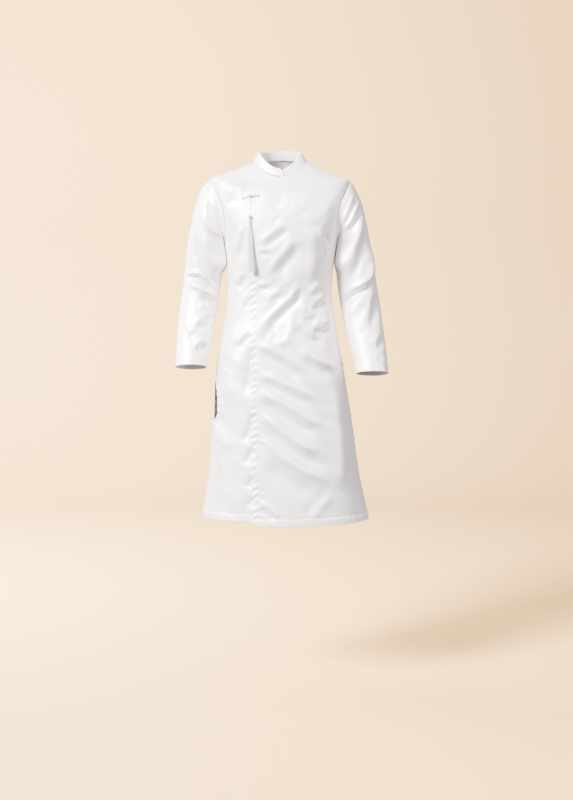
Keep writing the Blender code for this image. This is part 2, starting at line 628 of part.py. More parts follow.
def make_collar():
    row = BodyRow(NECK_RING)
    whole = row.at_turn(270.0) - row.at_turn(-90.0)
    start = row.at_x(SLIT_X + SLIT_HALF)
    end = row.at_x(SLIT_X - SLIT_HALF) + whole
    lengths = np.concatenate([start + CORNER_COLUMNS,
                              np.linspace(start + CORNER_END, end - CORNER_END, COLLAR_COLUMNS),
                              end - CORNER_COLUMNS[::-1]])
    wrapped = np.where(lengths > row.length[-1] - 0.001, lengths - whole, lengths)
    base = row.sample(wrapped) + np.array([0.0, 0.0, COLLAR_LIFT])
    forward = np.cos(row.turns_at(wrapped))
    height = COLLAR_HEIGHT - np.where(forward > 0, COLLAR_FRONT_CUT, COLLAR_BACK_CUT) * forward ** 2
    lean = COLLAR_LEAN + COLLAR_SKEW * base[:, 0] - COLLAR_LEAN_CUT * forward ** 2
    from_end = np.minimum(lengths - start, end - lengths)
    cut = np.clip(CORNER - from_end, 0.0, CORNER)
    drop = CORNER - np.sqrt(CORNER ** 2 - cut ** 2)
    inward = unit(-base * (1.0, 1.0, 0.0))
    outer = []
    for v in np.linspace(0.0, 1.0, COLLAR_LEVELS):
        part = v * (1.0 - 0.999 * drop * smooth(v * 1.2) / height)
        shift = inward * (lean * part - COLLAR_BULGE * math.sin(math.pi * v))[:, None]
        outer.append(base + shift + np.array([0.0, 0.0, 1.0]) * (height * part)[:, None])
    outer = np.array(outer)
    return shell("collar", outer, outer + inward * COLLAR_WALL)


# ---------------------------------------------------------------- frog, cord, bead, tassel
def front_place(x, z):
    """Point and normal on the front of the body at this x and z, folds left out."""
    rings = np.linspace(5.0, NECK_RING, 1601)
    _, _, _, half, mid, _, _, power = np.moveaxis(hermite(np.arange(len(RINGS)), RINGS, rings), -1, 0)
    across = np.clip((x - mid) / half, -1.0, 1.0)
    turn = np.arcsin(np.sign(across) * np.abs(across) ** (1.0 / power))
    heights = body_point(turn, rings)[:, 2]
    ring = np.interp(z, heights, rings)
    turn = np.interp(z, heights, turn)
    return body_point(turn, ring), body_normal(turn, ring)


def loop_tube(name, path, radius, sides):
    """Round cord along a closed list of points."""
    path = np.asarray(path, float)
    along = unit(np.roll(path, -1, axis=0) - np.roll(path, 1, axis=0))
    first = unit(np.cross(along, np.array([0.0, -1.0, 0.0])))
    second = np.cross(along, first)
    angles = np.arange(sides) * 2 * math.pi / sides
    rings = (path[:, None] + radius * (np.cos(angles)[None, :, None] * first[:, None]
                                       + np.sin(angles)[None, :, None] * second[:, None]))
    faces = []
    for i in range(len(path)):
        n = (i + 1) % len(path)
        for j in range(sides):
            k = (j + 1) % sides
            faces.append((i * sides + j, i * sides + k, n * sides + k, n * sides + j))
    return add_mesh(name, rings.reshape(-1, 3), faces)


def hanging_cord(name, path, radius):
    """Round cord between two ends: a curve with a bevel and closed caps."""
    curve = bpy.data.curves.new(name, "CURVE")
    curve.dimensions = "3D"
    curve.bevel_depth = radius
    curve.bevel_resolution = 2
    curve.use_fill_caps = True
    spline = curve.splines.new("POLY")
    spline.points.add(len(path) - 1)
    for point, place in zip(spline.points, path):
        point.co = (float(place[0]), float(place[1]), float(place[2]), 1.0)
    thing = bpy.data.objects.new(name, curve)
    bpy.context.scene.collection.objects.link(thing)
    thing.parent = tunic
    return thing


KNOT_AT = (-0.0876, -0.1062)      # x, z
KNOT_RADII = (0.0053, 0.0046, 0.0047)
KNOT_STANDS = 0.0053              # its middle stands this far off the cloth
KNOT_SWELL = 0.09                 # how much the four turns of cord show on it
WING_LENGTH = 0.026
CORD_RADIUS = 0.0011
WING_HALF = 0.0022        # half the distance between the two sides of a wing's loop
WING_LIFT = 0.0006        # a wing lies this far above the cloth
WING_RISE = 0.0026        # how far a wing's root stands off to meet the knot
WING_START = 0.0069
# name, side, how far the tip is from the level of the knot, shift towards the knot, wave
WINGS = (("frog_wing_right", -1, -0.0095, 0.0013, 0.0), ("frog_wing_left", 1, 0.0025, 0.0, 0.0013))
BEAD_AT = (-0.0905, -0.1652)
BEAD_RADII = (0.0062, 0.0058, 0.0060)
BEAD_STANDS = 0.0063
HANG_GAP = 0.0003         # between knot, cord, bead and tassel
TASSEL_CORD_RADIUS = 0.0008
CORD_POINTS = 14
BALL_ROWS, BALL_SIDES = 7, 12


def ball(name, centre, radii, swell=0.0):
    """A round knot of cord. The swell is how much its turns stand out."""
    points = [centre + np.array([0.0, 0.0, radii[2]])]
    for i in range(1, BALL_ROWS):
        a = math.pi * i / BALL_ROWS
        for j in range(BALL_SIDES):
            b = 2 * math.pi * j / BALL_SIDES
            wide = math.sin(a) * (1.0 + swell * math.cos(4 * b + 3 * a))
            points.append(centre + np.array([radii[0] * wide * math.cos(b),
                                             radii[1] * wide * math.sin(b), radii[2] * math.cos(a)]))
    points.append(centre - np.array([0.0, 0.0, radii[2]]))
    last = 1 + (BALL_ROWS - 2) * BALL_SIDES
    faces = []
    for j in range(BALL_SIDES):
        k = (j + 1) % BALL_SIDES
        faces.append((0, 1 + j, 1 + k))
        faces.append((len(points) - 1, last + k, last + j))
        for i in range(BALL_ROWS - 2):
            a, b = 1 + i * BALL_SIDES, 1 + (i + 1) * BALL_SIDES
            faces.append((a + j, b + j, b + k, a + k))
    return add_mesh(name, points, faces)


def wing_outline():
    """A long loop with round ends: distance from the wing's root, and side step."""
    far = WING_LENGTH - WING_START - WING_HALF
    straight = [(WING_HALF + (far - WING_HALF) * t, WING_HALF) for t in np.linspace(0, 1, 9)]
    tip = [(far + WING_HALF * math.cos(a), WING_HALF * math.sin(a))
           for a in np.radians((60, 30, 0, -30, -60))]
    back = [(x, -y) for x, y in reversed(straight)]
    root = [(WING_HALF + WING_HALF * math.cos(a), WING_HALF * math.sin(a))
            for a in np.radians((240, 210, 180, 150, 120))]
    return straight + tip + back + root


def make_wing(name, side, drop, shift, wave):
    path = []
    for along, across in wing_outline():
        x = KNOT_AT[0] + side * (WING_START + along) + shift
        part = along / WING_LENGTH
        z = KNOT_AT[1] + drop * part + across + wave * math.sin(part * 3.2 * math.pi)
        place, out = front_place(x, z)
        under = smooth((edge_x(TIP_RING) - 0.002 - x) / 0.009) if side < 0 else 0.0
        rise = WING_RISE * (1.0 - smooth(along / 0.007))
        path.append(place + out * (CORD_RADIUS + WING_LIFT + rise - UNDER_STEP * under))
    return loop_tube(name, path, CORD_RADIUS, 6)


def make_frog():
    point, normal = front_place(*KNOT_AT)
    knot = point + normal * KNOT_STANDS
    paint(ball("frog_knot", knot, KNOT_RADII, KNOT_SWELL), "cord_frog_knot", CORD, 0.5)
    for wing in WINGS:
        paint(make_wing(*wing), "cord_" + wing[0], CORD, 0.5)
    return knot


def make_drop(knot):
    """Cord, bead and tassel hanging from the knot."""
    place, _ = front_place(*BEAD_AT)
    bead = place - np.array([0.0, BEAD_STANDS, 0.0])
    top = knot + np.array([-0.0008, 0.0002, -KNOT_RADII[2] - HANG_GAP - 0.0001])
    bottom = bead + np.array([0.0, 0.0, BEAD_RADII[2] + HANG_GAP])
    path = []
    for t in np.linspace(0.0, 1.0, CORD_POINTS):
        spot = top + (bottom - top) * t
        place, _ = front_place(spot[0], spot[2])
        spot[1] = min(spot[1], place[1] - 0.0013)
        path.append(spot)
    paint(hanging_cord("tassel_cord", path, TASSEL_CORD_RADIUS), "cord_tassel", CORD, 0.5)
    paint(ball("tassel_bead", bead, BEAD_RADII), "silk_bead", SILK, 0.45)
    return bead - np.array([0.0, 0.0, BEAD_RADII[2] + HANG_GAP])


STRAND_SPOKES = 14
STRAND_RADII = (0.0042, 0.0031, 0.0020, 0.0009)   # the cells under the head lie between these
# The head's profile: radius, height under its top. The last one is where the strands start.
HEAD = ((0.0026, -0.0002), (0.0040, -0.0030), (0.0034, -0.0065), (0.0042, -0.0100))
HEAD_HEIGHT = 0.0100
TASSEL_LENGTH = 0.160
TASSEL_LEVELS = 4
STRAND_UNEVEN = 0.004     # difference in length between strands
TASSEL_SPREAD = 2.35      # how much wider than the head the tassel gets, sideways
TASSEL_FLAT = (0.20, 0.80)
TASSEL_DRIFT = (0.0075, -0.0016)   # its lower end hangs this far to the left and forward


def make_tassel(top):
    """A small head whose underside is cut into cells. Each cell's middle is drawn down as a strand."""
    angles = np.arange(STRAND_SPOKES) * 2 * math.pi / STRAND_SPOKES
    points, faces = [top.copy()], []
    for radius, z in HEAD:
        for b in angles:
            points.append(top + np.array([radius * math.cos(b), radius * math.sin(b), z]))
    for j in range(STRAND_SPOKES):
        k = (j + 1) % STRAND_SPOKES
        faces.append((0, 1 + j, 1 + k))
        for i in range(len(HEAD) - 1):
            a, b = 1 + i * STRAND_SPOKES, 1 + (i + 1) * STRAND_SPOKES
            faces.append((a + j, b + j, b + k, a + k))
    rings = [[1 + (len(HEAD) - 1) * STRAND_SPOKES + j for j in range(STRAND_SPOKES)]]
    for radius in STRAND_RADII[1:]:
        rings.append([])
        for b in angles:
            rings[-1].append(len(points))
            points.append(top + np.array([radius * math.cos(b), radius * math.sin(b), -HEAD_HEIGHT]))
    faces.append(tuple(reversed(rings[-1])))
    for i in range(len(rings) - 1):
        for j in range(STRAND_SPOKES):
            k = (j + 1) % STRAND_SPOKES
            cell = [rings[i][j], rings[i + 1][j], rings[i + 1][k], rings[i][k]]
            if i == len(rings) - 2 and j % 2:
                faces.append(tuple(cell))
                continue
            add_strand(points, faces, cell, top, 0.5 + 0.5 * math.sin(12.9898 * i + 78.233 * j))
    return add_mesh("tassel", points, faces)


def add_strand(points, faces, cell, top, uneven):
    """Draw the cell down in levels that spread and drift a little."""
    corners = np.array([points[c] for c in cell])
    middle = corners.mean(axis=0)
    flat = (middle - top) * (1.0, 1.0, 0.0)
    rows = []
    for level in range(TASSEL_LEVELS):
        t = level / (TASSEL_LEVELS - 1)
        spread = 1.0 + TASSEL_SPREAD * t ** 0.8
        width = 0.62 * (1.0 + 1.3 * t) * (1.0 if level < TASSEL_LEVELS - 1 else 0.8)
        length = (TASSEL_LENGTH - HEAD_HEIGHT - STRAND_UNEVEN * uneven) * t
        centre = top + flat * (spread, TASSEL_FLAT[0] * spread + TASSEL_FLAT[1], 0.0)
        centre = centre + np.array([TASSEL_DRIFT[0] * t, TASSEL_DRIFT[1] * smooth(3.0 * t),
                                    -HEAD_HEIGHT - length])
        rows.append(list(range(len(points), len(points) + len(corners))))
        points.extend(centre + (corners - middle) * (width, width, 0.0))
    for a, b in ((0, 1), (1, 2), (2, 3), (3, 0)):
        faces.append((cell[a], cell[b], rows[0][b], rows[0][a]))
        for upper, lower in zip(rows[:-1], rows[1:]):
            faces.append((upper[a], upper[b], lower[b], lower[a]))
    faces.append(tuple(rows[-1]))


# ---------------------------------------------------------------- build
for old in list(bpy.data.objects):
    bpy.data.objects.remove(old, do_unlink=True)

tunic = bpy.data.objects.new("tunic", None)
bpy.context.scene.collection.objects.link(tunic)

sleeve_left, seam_left = make_sleeve("sleeve_left", 1, CAP_LEFT, ARM_LEFT, SLEEVE_LEFT_FOLDS)
sleeve_right, seam_right = make_sleeve("sleeve_right", -1, CAP_RIGHT, ARM_RIGHT, SLEEVE_RIGHT_FOLDS)
satin_pieces = (sleeve_left, sleeve_right, make_front_left(seam_left), make_placket(),
                make_front_right(seam_right), make_back(seam_left, seam_right), make_collar())
for piece in satin_pieces:
    paint(piece, "satin_" + piece.name, WHITE, 0.36)
paint(make_tassel(make_drop(make_frog())), "silk_tassel", SILK, 0.5)
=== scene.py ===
import math

import bmesh
import bpy
import mathutils
import numpy as np
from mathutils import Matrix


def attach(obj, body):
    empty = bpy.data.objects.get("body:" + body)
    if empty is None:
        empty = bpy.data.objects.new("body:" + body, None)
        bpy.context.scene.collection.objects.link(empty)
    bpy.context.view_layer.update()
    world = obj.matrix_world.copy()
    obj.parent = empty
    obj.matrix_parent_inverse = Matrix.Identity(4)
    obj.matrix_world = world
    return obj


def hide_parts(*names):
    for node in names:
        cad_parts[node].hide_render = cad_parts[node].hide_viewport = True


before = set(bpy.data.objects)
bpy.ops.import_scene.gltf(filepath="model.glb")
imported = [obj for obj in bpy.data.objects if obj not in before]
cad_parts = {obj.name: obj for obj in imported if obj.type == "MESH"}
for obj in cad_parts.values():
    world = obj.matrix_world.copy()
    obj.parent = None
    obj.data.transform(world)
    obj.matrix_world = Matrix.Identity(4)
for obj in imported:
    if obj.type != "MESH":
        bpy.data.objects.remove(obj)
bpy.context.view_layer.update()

# %% [markdown]
# # A white satin ao dai tunic
# The imported model gives every piece its place and its size. This lesson dresses it: each cut piece of
# the tunic is made again as a fine sheet of cloth on the same form, with its creases placed one by one,
# its hems turned and its edges stitched, and each surface gets a material made of nodes.

# %% [markdown]
# ## The camera
# The tunic is seen from straight ahead, from the height of the wearer's ribs and four metres away. A
# longer lens would flatten it more and a shorter one would widen the hem. The camera comes first, so
# that each later step can be looked at as it is made.

# %% Camera
CAMERA_AT = (0.0165, -4.0, -0.344)
CAMERA_DOWN = 5.20        # degrees below level
LENS, SENSOR = 60.0, 36.0     # millimetres


def make_camera():
    data = bpy.data.cameras.new("camera")
    data.lens = LENS
    data.sensor_width = SENSOR
    camera = bpy.data.objects.new("camera", data)
    camera.location = CAMERA_AT
    camera.rotation_euler = (math.radians(90.0 - CAMERA_DOWN), 0.0, 0.0)
    bpy.context.scene.collection.objects.link(camera)
    bpy.context.scene.camera = camera
    print("camera", camera.location[:], "lens", data.lens)


make_camera()

# %% [markdown]
# ## The form of the body
# A tunic is drafted from a few measures: how wide and how deep it is at the hem, hips, waist, chest and
# neck. Each row below is one ring round the body. A smooth curve through the rings gives the cloth
# its cut. One table of real sizes is easier to change than a sculpted mesh, so it is made this way.

# %% Rings of the body
# side z, front z, back z, half width, middle x, front depth, back depth, power of the outline
RINGS = np.array([
    (-1.0670, -1.067, -1.064, 0.2480, 0.0135, 0.150, 0.150, 1.06),
    (-0.911, -0.909, -0.909, 0.2246, 0.0091, 0.142, 0.142, 0.98),
    (-0.774, -0.774, -0.774, 0.2098, 0.0041, 0.135, 0.136, 0.90),
    (-0.669, -0.669, -0.669, 0.1987, -0.0020, 0.130, 0.131, 0.84),
    (-0.561, -0.561, -0.561, 0.1816, -0.0037, 0.125, 0.126, 0.80),
    (-0.507, -0.507, -0.507, 0.1721, -0.0041, 0.119, 0.119, 0.80),
    (-0.453, -0.453, -0.453, 0.1628, -0.0022, 0.111, 0.108, 0.80),
    (-0.399, -0.399, -0.399, 0.1558, -0.0035, 0.107, 0.100, 0.80),
    (-0.338, -0.338, -0.338, 0.1560, -0.0015, 0.112, 0.106, 0.80),
    (-0.235, -0.235, -0.235, 0.1678, -0.0003, 0.124, 0.115, 0.80),
    (-0.140, -0.165, -0.140, 0.1900, 0.0, 0.122, 0.115, 0.82),
    (-0.0515, -0.105, -0.060, 0.2050, -0.0018, 0.105, 0.105, 0.92),
    (-0.0285, -0.072, -0.018, 0.1450, -0.0010, 0.083, 0.088, 0.96),
    (0.0, -0.046, 0.010, 0.0797, -0.0009, 0.066, 0.066, 1.00),
])
WAIST_RING, ARMPIT_RING, ARMHOLE_RING, TIP_RING, NECK_RING = 7.0, 9.0, 10.0, 11.0, 13.0
SHOULDER_DIP = 0.006      # makes the shoulder seam straight between neck and tip
SHOULDER_TILT = 0.02      # the wearer's left shoulder hangs lower: metres per metre across
HEM_FLARE = 0.005         # the corners of the vents turn out this much, below this ring
FLARE_RING = 0.9
FLARE_FROM = 0.88         # sine of the turn where that starts
print(len(RINGS), "rings, hem to neck", RINGS[0][0], RINGS[-1][0])


# %% Curves through a table
def unit(v):
    return v / np.maximum(np.linalg.norm(v, axis=-1, keepdims=True), 1e-12)


def smooth(t):
    t = np.clip(t, 0.0, 1.0)
    return t * t * (3.0 - 2.0 * t)


def bell(distance, half_width):
    return np.exp(-(distance / half_width) ** 2)


def travel(line):
    """Length from the start of a line to each of its points."""
    return np.concatenate([[0.0], np.cumsum(np.linalg.norm(np.diff(line, axis=0), axis=1))])


def hermite(values, at):
    """Smooth curve through the values, one row of values for each key: 0, 1, 2 and so on."""
    values = np.asarray(values, float)
    last = len(values) - 1
    slopes = np.gradient(values, axis=0)
    at = np.clip(np.asarray(at, float), 0, last)
    i = np.clip(np.floor(at).astype(int), 0, last - 1)
    t = (at - i).reshape(at.shape + (1,) * (values.ndim - 1))
    start = 2 * t ** 3 - 3 * t ** 2 + 1
    leave = t ** 3 - 2 * t ** 2 + t
    end = -2 * t ** 3 + 3 * t ** 2
    arrive = t ** 3 - t ** 2
    return start * values[i] + leave * slopes[i] + end * values[i + 1] + arrive * slopes[i + 1]


print("height of the side half way from ring 8 to 9:", round(float(hermite(RINGS, 8.5)[0]), 3))

# %% Points of the body
TURN_STEP, RING_STEP = 0.01, 0.03     # steps that measure the slope of the form


def body_point(turn, ring):
    """Point of the body. The turn is 0 at the front and 90 degrees at the wearer's left."""
    turn, ring = np.asarray(turn, float), np.asarray(ring, float)
    side, front, back, half, mid, fore, aft, power = np.moveaxis(hermite(RINGS, ring), -1, 0)
    across, along = np.sin(turn), np.cos(turn)
    x = mid + half * np.sign(across) * np.abs(across) ** power
    depth = np.where(along > 0, fore, aft)
    y = -depth * np.sign(along) * np.abs(along) ** power
    z = side + (np.where(along > 0, front, back) - side) * along ** 2
    over_shoulder = np.sin(math.pi * np.clip(ring - TIP_RING, 0.0, 1.0)) ** 2
    z = z - SHOULDER_DIP * over_shoulder * across ** 4
    rising = smooth((ring - ARMPIT_RING) / (TIP_RING - ARMPIT_RING))
    z = z - SHOULDER_TILT * x * rising * smooth(NECK_RING - ring)
    flare = smooth((np.abs(across) - FLARE_FROM) / (1.0 - FLARE_FROM)) * smooth(1.0 - ring / FLARE_RING)
    return np.stack([x + HEM_FLARE * np.sign(across) * flare, y, z], axis=-1)


def body_normal(turn, ring):
    d_turn = body_point(turn + TURN_STEP, ring) - body_point(turn - TURN_STEP, ring)
    low = np.clip(np.asarray(ring, float) - RING_STEP, 0.0, NECK_RING)
    high = np.clip(np.asarray(ring, float) + RING_STEP, 0.0, NECK_RING)
    return unit(np.cross(d_turn, body_point(turn, high) - body_point(turn, low)))


class BodyRow:
    """One ring of the body, measured along its length from the middle of the front."""
    first, last, step = -120.0, 300.0, 0.25       # degrees
    front_limit = math.radians(88.0)

    def __init__(self, ring):
        self.turn = np.radians(np.arange(self.first, self.last + self.step / 2, self.step))
        self.points = body_point(self.turn, np.full(self.turn.shape, float(ring)))
        total = travel(self.points)
        self.length = total - np.interp(0.0, self.turn, total)
        self.front_height = self.points[round(-self.first / self.step), 2]

    def length_at(self, turn):
        return float(np.interp(turn, self.turn, self.length))

    def turns_at(self, lengths):
        return np.interp(lengths, self.length, self.turn)

    def at_x(self, x):
        front = np.abs(self.turn) < self.front_limit
        return float(np.interp(x, self.points[front, 0], self.length[front]))


print("waist round:", round(BodyRow(WAIST_RING).length_at(math.pi) * 2, 3), "m")

# %% [markdown]
# ## Creases
# Cloth that hangs on a body shows drag lines: soft crests and troughs that run from where it is held
# or pulled. Each one here is a short line with a half width and a height in millimetres, seen from
# the front or the back. A fold is usually two of them, a crest and the trough below it, because the
# flank between them is what falls into shade. Placed one by one, they can be as uneven as real ones,
# which a noise texture never is, and a simulation would not put them where they are on this garment.

# %% Creases of the front: points (x, z), half width, height
FRONT_FOLDS = (
    # chest: each fold is a crest and a trough, and the flank between them falls into shade
    (((-63, -243), (-36, -220), (-13, -201), (14, -190)), 8, 3),
    (((-54, -254), (-22, -238), (5, -217), (27, -199)), 9, -4), (((-64, -261), (-33, -261)), 6, 1.5),
    (((-64, -274), (-26, -274)), 7, -2.5), (((40, -218), (14, -262), (-16, -294), (-36, -333)), 10, 4),
    (((58, -240), (34, -283), (11, -308), (-8, -348)), 12, -5),
    (((3, -373), (-26, -391), (-40, -406)), 8, 2.5), (((3, -391), (-22, -413)), 9, -3),
    (((-71, -361), (-37, -361)), 6, 1.5), (((-69, -375), (-33, -373)), 7, -3),
    (((-4, -170), (-25, -183)), 8, -2), (((90, -95), (61, -132), (29, -157)), 18, 2.5),
    (((149, -116), (112, -160), (61, -182)), 16, 3), (((11, -103), (-22, -147)), 12, -2),
    # waist
    (((54, -348), (29, -399), (0, -424), (-33, -455), (-60, -486)), 9, 5),
    (((72, -366), (47, -408), (18, -435), (-13, -466), (-37, -495), (-57, -524)), 11, -6.5),
    (((32, -435), (32, -486), (18, -522), (-18, -540), (-58, -536)), 11, 4),
    (((-15, -478), (-17, -511)), 12, -3), (((109, -355), (82, -388)), 7, 3),
    (((120, -373), (98, -399)), 8, -3), (((120, -392), (95, -410)), 7, 3.5),
    (((130, -415), (109, -430), (91, -430)), 8, -6), (((76, -424), (62, -435)), 9, 3),
    (((62, -462), (91, -470), (109, -457)), 10, -4), (((91, -491), (113, -462)), 7, 3.5),
    (((120, -462), (150, -476)), 7, 3.5), (((91, -502), (120, -501), (150, -490)), 9, -7),
    (((43, -468), (69, -478), (95, -504), (128, -508)), 9, 3.5),
    (((40, -491), (65, -509), (91, -526), (128, -526)), 10, -4.5),
    # the wearer's left side
    (((90, -193), (90, -250), (89, -319), (91, -362)), 17, 6),
    (((151, -218), (146, -304), (138, -370)), 18, -5), (((125, -209), (149, -256)), 8, -4),
    (((108, -193), (127, -243), (140, -290)), 8, 2.5),
    # skirt
    (((-70, -524), (-39, -544), (-6, -562), (30, -580), (67, -613)), 11, 5.9),
    (((-66, -547), (-35, -574), (-2, -592), (27, -618), (60, -644)), 13, -7.8),
    (((56, -536), (78, -562), (107, -580), (144, -598), (162, -589)), 11, 5.2),
    (((67, -576), (92, -602), (125, -620), (150, -622)), 15, -3.2),
    (((-66, -622), (-28, -631), (8, -650), (56, -667), (96, -697)), 12, 6.5),
    (((-61, -638), (-24, -654), (12, -674), (49, -696), (92, -719)), 13, -6.5),
    (((-66, -667), (-28, -687), (8, -707), (49, -729), (85, -757), (122, -777)), 13, 7.8),
    (((-63, -691), (-35, -714), (-2, -740), (34, -764), (70, -784), (111, -798)), 15, -9.8),
    (((-61, -738), (-28, -756), (5, -789), (41, -817), (78, -839), (115, -853)), 14, 9.1),
    (((-57, -760), (-24, -795), (12, -829), (49, -857), (85, -880), (130, -894)), 14, -8.5),
    (((-61, -795), (-21, -836), (12, -866), (56, -894), (100, -919), (144, -947)), 14, 7.2),
    (((-39, -871), (-10, -908), (27, -937), (71, -964), (108, -980)), 24, -7.2),
    # hem
    (((-63, -995), (-35, -1014), (-2, -1043)), 9, 4), (((-61, -1011), (-35, -1032), (-17, -1050)), 8, -4),
    (((150, -968), (122, -1006), (89, -1045)), 13, 3.2), (((128, -964), (100, -998), (67, -1041)), 15, -3),
    (((159, -648), (166, -732), (174, -806), (178, -881), (178, -973)), 19, 5.5),
    # the right front, above the hips
    (((-116, -193), (-125, -232), (-137, -275)), 7, 3), (((-103, -196), (-111, -240), (-122, -290)), 8, -3),
    (((-113, -322), (-134, -357)), 7, 2.5), (((-104, -337), (-126, -377)), 8, -4),
    (((-88, -392), (-115, -432)), 10, -3), (((-92, -486), (-121, -515), (-139, -534)), 9, 3.5),
    (((-88, -504), (-114, -533), (-128, -552)), 9, -4),
    (((-160, -101), (-134, -77), (-100, -83)), 13, 3.5), (((-164, -131), (-120, -112)), 11, -3),
    (((-160, -498), (-127, -435), (-81, -377)), 10, 4), (((-173, -450), (-142, -406)), 9, -3),
    # and below them: the dark wedges beside the placket are troughs that run under it
    (((-84, -540), (-92, -600), (-106, -690)), 12, -6), (((-123, -554), (-150, -640), (-156, -699)), 16, 3.5),
    (((-80, -735), (-96, -790), (-114, -825)), 10, -5.5), (((-80, -835), (-106, -888)), 9, -6),
    (((-80, -922), (-102, -958)), 9, -4), (((-80, -984), (-102, -1014)), 9, -4),
    (((-190, -765), (-172, -815), (-150, -850)), 12, 4), (((-191, -778), (-181, -840), (-174, -921)), 8, 3.5),
    (((-150, -576), (-161, -614)), 14, -2.5), (((-178, -700), (-173, -753)), 9, 3),
)
print(len(FRONT_FOLDS), "creases in front")

# %% Creases of the back
BACK_FOLDS = (
    # shoulder blades
    (((-122, -118), (-86, -190), (-72, -262)), 20, -2.5), (((118, -130), (86, -202), (76, -272)), 20, -2.5),
    (((2, -150), (5, -310)), 26, -3), (((-44, -165), (-32, -305)), 22, 2), (((48, -170), (38, -300)), 22, 2),
    # the cloth settles in soft cross folds above the hips
    (((-112, -372), (-34, -390), (58, -385), (120, -366)), 13, -4),
    (((-120, -398), (-40, -419), (52, -413), (124, -394)), 14, 4.5),
    (((-92, -430), (-6, -447), (82, -436)), 13, -4), (((-60, -464), (22, -475), (96, -460)), 15, 3.5),
    (((-132, -474), (-72, -444)), 12, 3), (((136, -482), (84, -456)), 12, 3),
    (((-140, -330), (-120, -405)), 12, -3), (((138, -322), (122, -398)), 12, -3),
    # skirt
    (((-90, -620), (-110, -800), (-140, -1050)), 22, 6.5), (((-20, -640), (-15, -840), (-30, -1055)), 24, -6),
    (((60, -600), (85, -800), (100, -1050)), 22, 6.5), (((150, -640), (170, -850), (190, -1040)), 20, -6),
    (((20, -660), (34, -860), (40, -1050)), 16, 3), (((-160, -700), (-178, -1040)), 16, -4),
    (((-130, -560), (-64, -640), (-48, -760)), 16, -3.5), (((120, -560), (66, -650), (50, -740)), 16, -3),
)
print(len(BACK_FOLDS), "creases behind")

# %% [markdown]
# ## Worn satin
# Between its creases, satin that has been worn is faintly uneven. That can't be placed by hand, so it is
# drawn from one small table of random heights with a fixed seed. The patches are stretched along the
# pull of the cloth: up to the side above the waist, down and out below it, and upright behind.

# %% Unevenness between the creases
HEIGHTS = 64              # rows and columns of the table of random heights
TABLE = np.random.default_rng(11).uniform(-1.0, 1.0, (HEIGHTS, HEIGHTS))
PATCH_SHIFT = (7.3, 3.1)      # moves each layer to another part of the table
WANDER_U, WANDER_V = (12.0, 37.0), (9.0, 51.0)    # how far the patches wander, and over what length, mm
HIPS, HIPS_OVER = -0.52, 0.10     # the pull changes its slant below this height, over this length
# slant in degrees, length and width of a patch in mm, share, layer
RISING = ((38, 120, 42, 1.0, 1), (44, 60, 21, 0.45, 6), (52, 34, 11, 0.20, 9))
FALLING = ((-30, 150, 46, 1.0, 2), (-24, 70, 24, 0.40, 7), (-36, 38, 12, 0.18, 10))
UPRIGHT = ((75, 190, 55, 1.0, 3), (60, 80, 30, 0.35, 8))


def patches(u, v, layer):
    """Smooth random heights from -1 to 1, one patch for each whole number of u and v."""
    u, v = u + PATCH_SHIFT[0] * layer, v + PATCH_SHIFT[1] * layer
    i, j = np.floor(u).astype(int), np.floor(v).astype(int)
    s, t = smooth(u - i), smooth(v - j)

    def level(j):
        return TABLE[i % HEIGHTS, j % HEIGHTS] * (1 - s) + TABLE[(i + 1) % HEIGHTS, j % HEIGHTS] * s

    return level(j) * (1 - t) + level(j + 1) * t


def slanted(points, degrees, long, wide, layer):
    """Patches drawn out along a slant, seen in x and z, in millimetres."""
    a = math.radians(degrees)
    x, z = points[..., 0] * 1000.0, points[..., 2] * 1000.0
    u, v = x * math.cos(a) + z * math.sin(a), z * math.cos(a) - x * math.sin(a)
    u = u + WANDER_U[0] * np.sin(v / WANDER_U[1] + layer)
    v = v + WANDER_V[0] * np.sin(u / WANDER_V[1] + 2.0 * layer)
    return patches(u / long, v / wide, layer)


def uneven(points, table, shift=0):
    """Sum of slanted patches, one for each row of the table."""
    return sum(share * slanted(points, degrees, long, wide, layer + shift)
               for degrees, long, wide, share, layer in table)


def handled(points):
    """The unevenness of the body of the tunic, in metres."""
    low = smooth((HIPS - points[..., 2]) / HIPS_OVER)
    in_front = uneven(points, RISING) * (1 - low) + uneven(points, FALLING) * low
    return 0.001 * np.where(points[..., 1] > 0, uneven(points, UPRIGHT), in_front)


print("unevenness at the chest, mm:", round(1000 * float(handled(np.array([0.05, -0.12, -0.2]))), 2))

# %% Height of the creases at a point
FOLD_GAIN = 1.15          # makes every fold of the body this much higher
FOLD_WIDEN = 1.1          # and every fold this much wider
END_SHARE, END_LEFT = 0.3, 0.12       # a crease fades over this share of its line, and is left with this
HANDLED = 1.9             # gain of the unevenness
BODY_EDGE, SLEEVE_EDGE = 0.05, 0.02   # a crease reaches just past the outline, where the normal's y is this
FACING_OVER = 0.5         # and it is full where the normal has turned by this much more
FROG_MIDDLE = np.array([-0.088, -0.21])   # x, z: the cloth stays calm behind the frog and the tassel
FROG_HALF = np.array([0.035, 0.15])
FROG_FADE = 1.5
NECK_CALM = 0.045         # no creases this close below the neck, and they are full at twice this
ARMHOLE_MIDDLE = np.array([0.185, 0.0, -0.146])   # and none in this egg-shaped space round an armhole
ARMHOLE_HALF = (0.06, 0.069, 0.093)
ARMHOLE_INNER, ARMHOLE_FADE = 0.145, 0.35     # past this x the distance across doesn't count


def facing(normals, way, edge):
    """1 where the cloth faces front (-1) or back (1), and 0 where it faces the other way."""
    return smooth((way * normals[..., 1] + edge) / FACING_OVER)


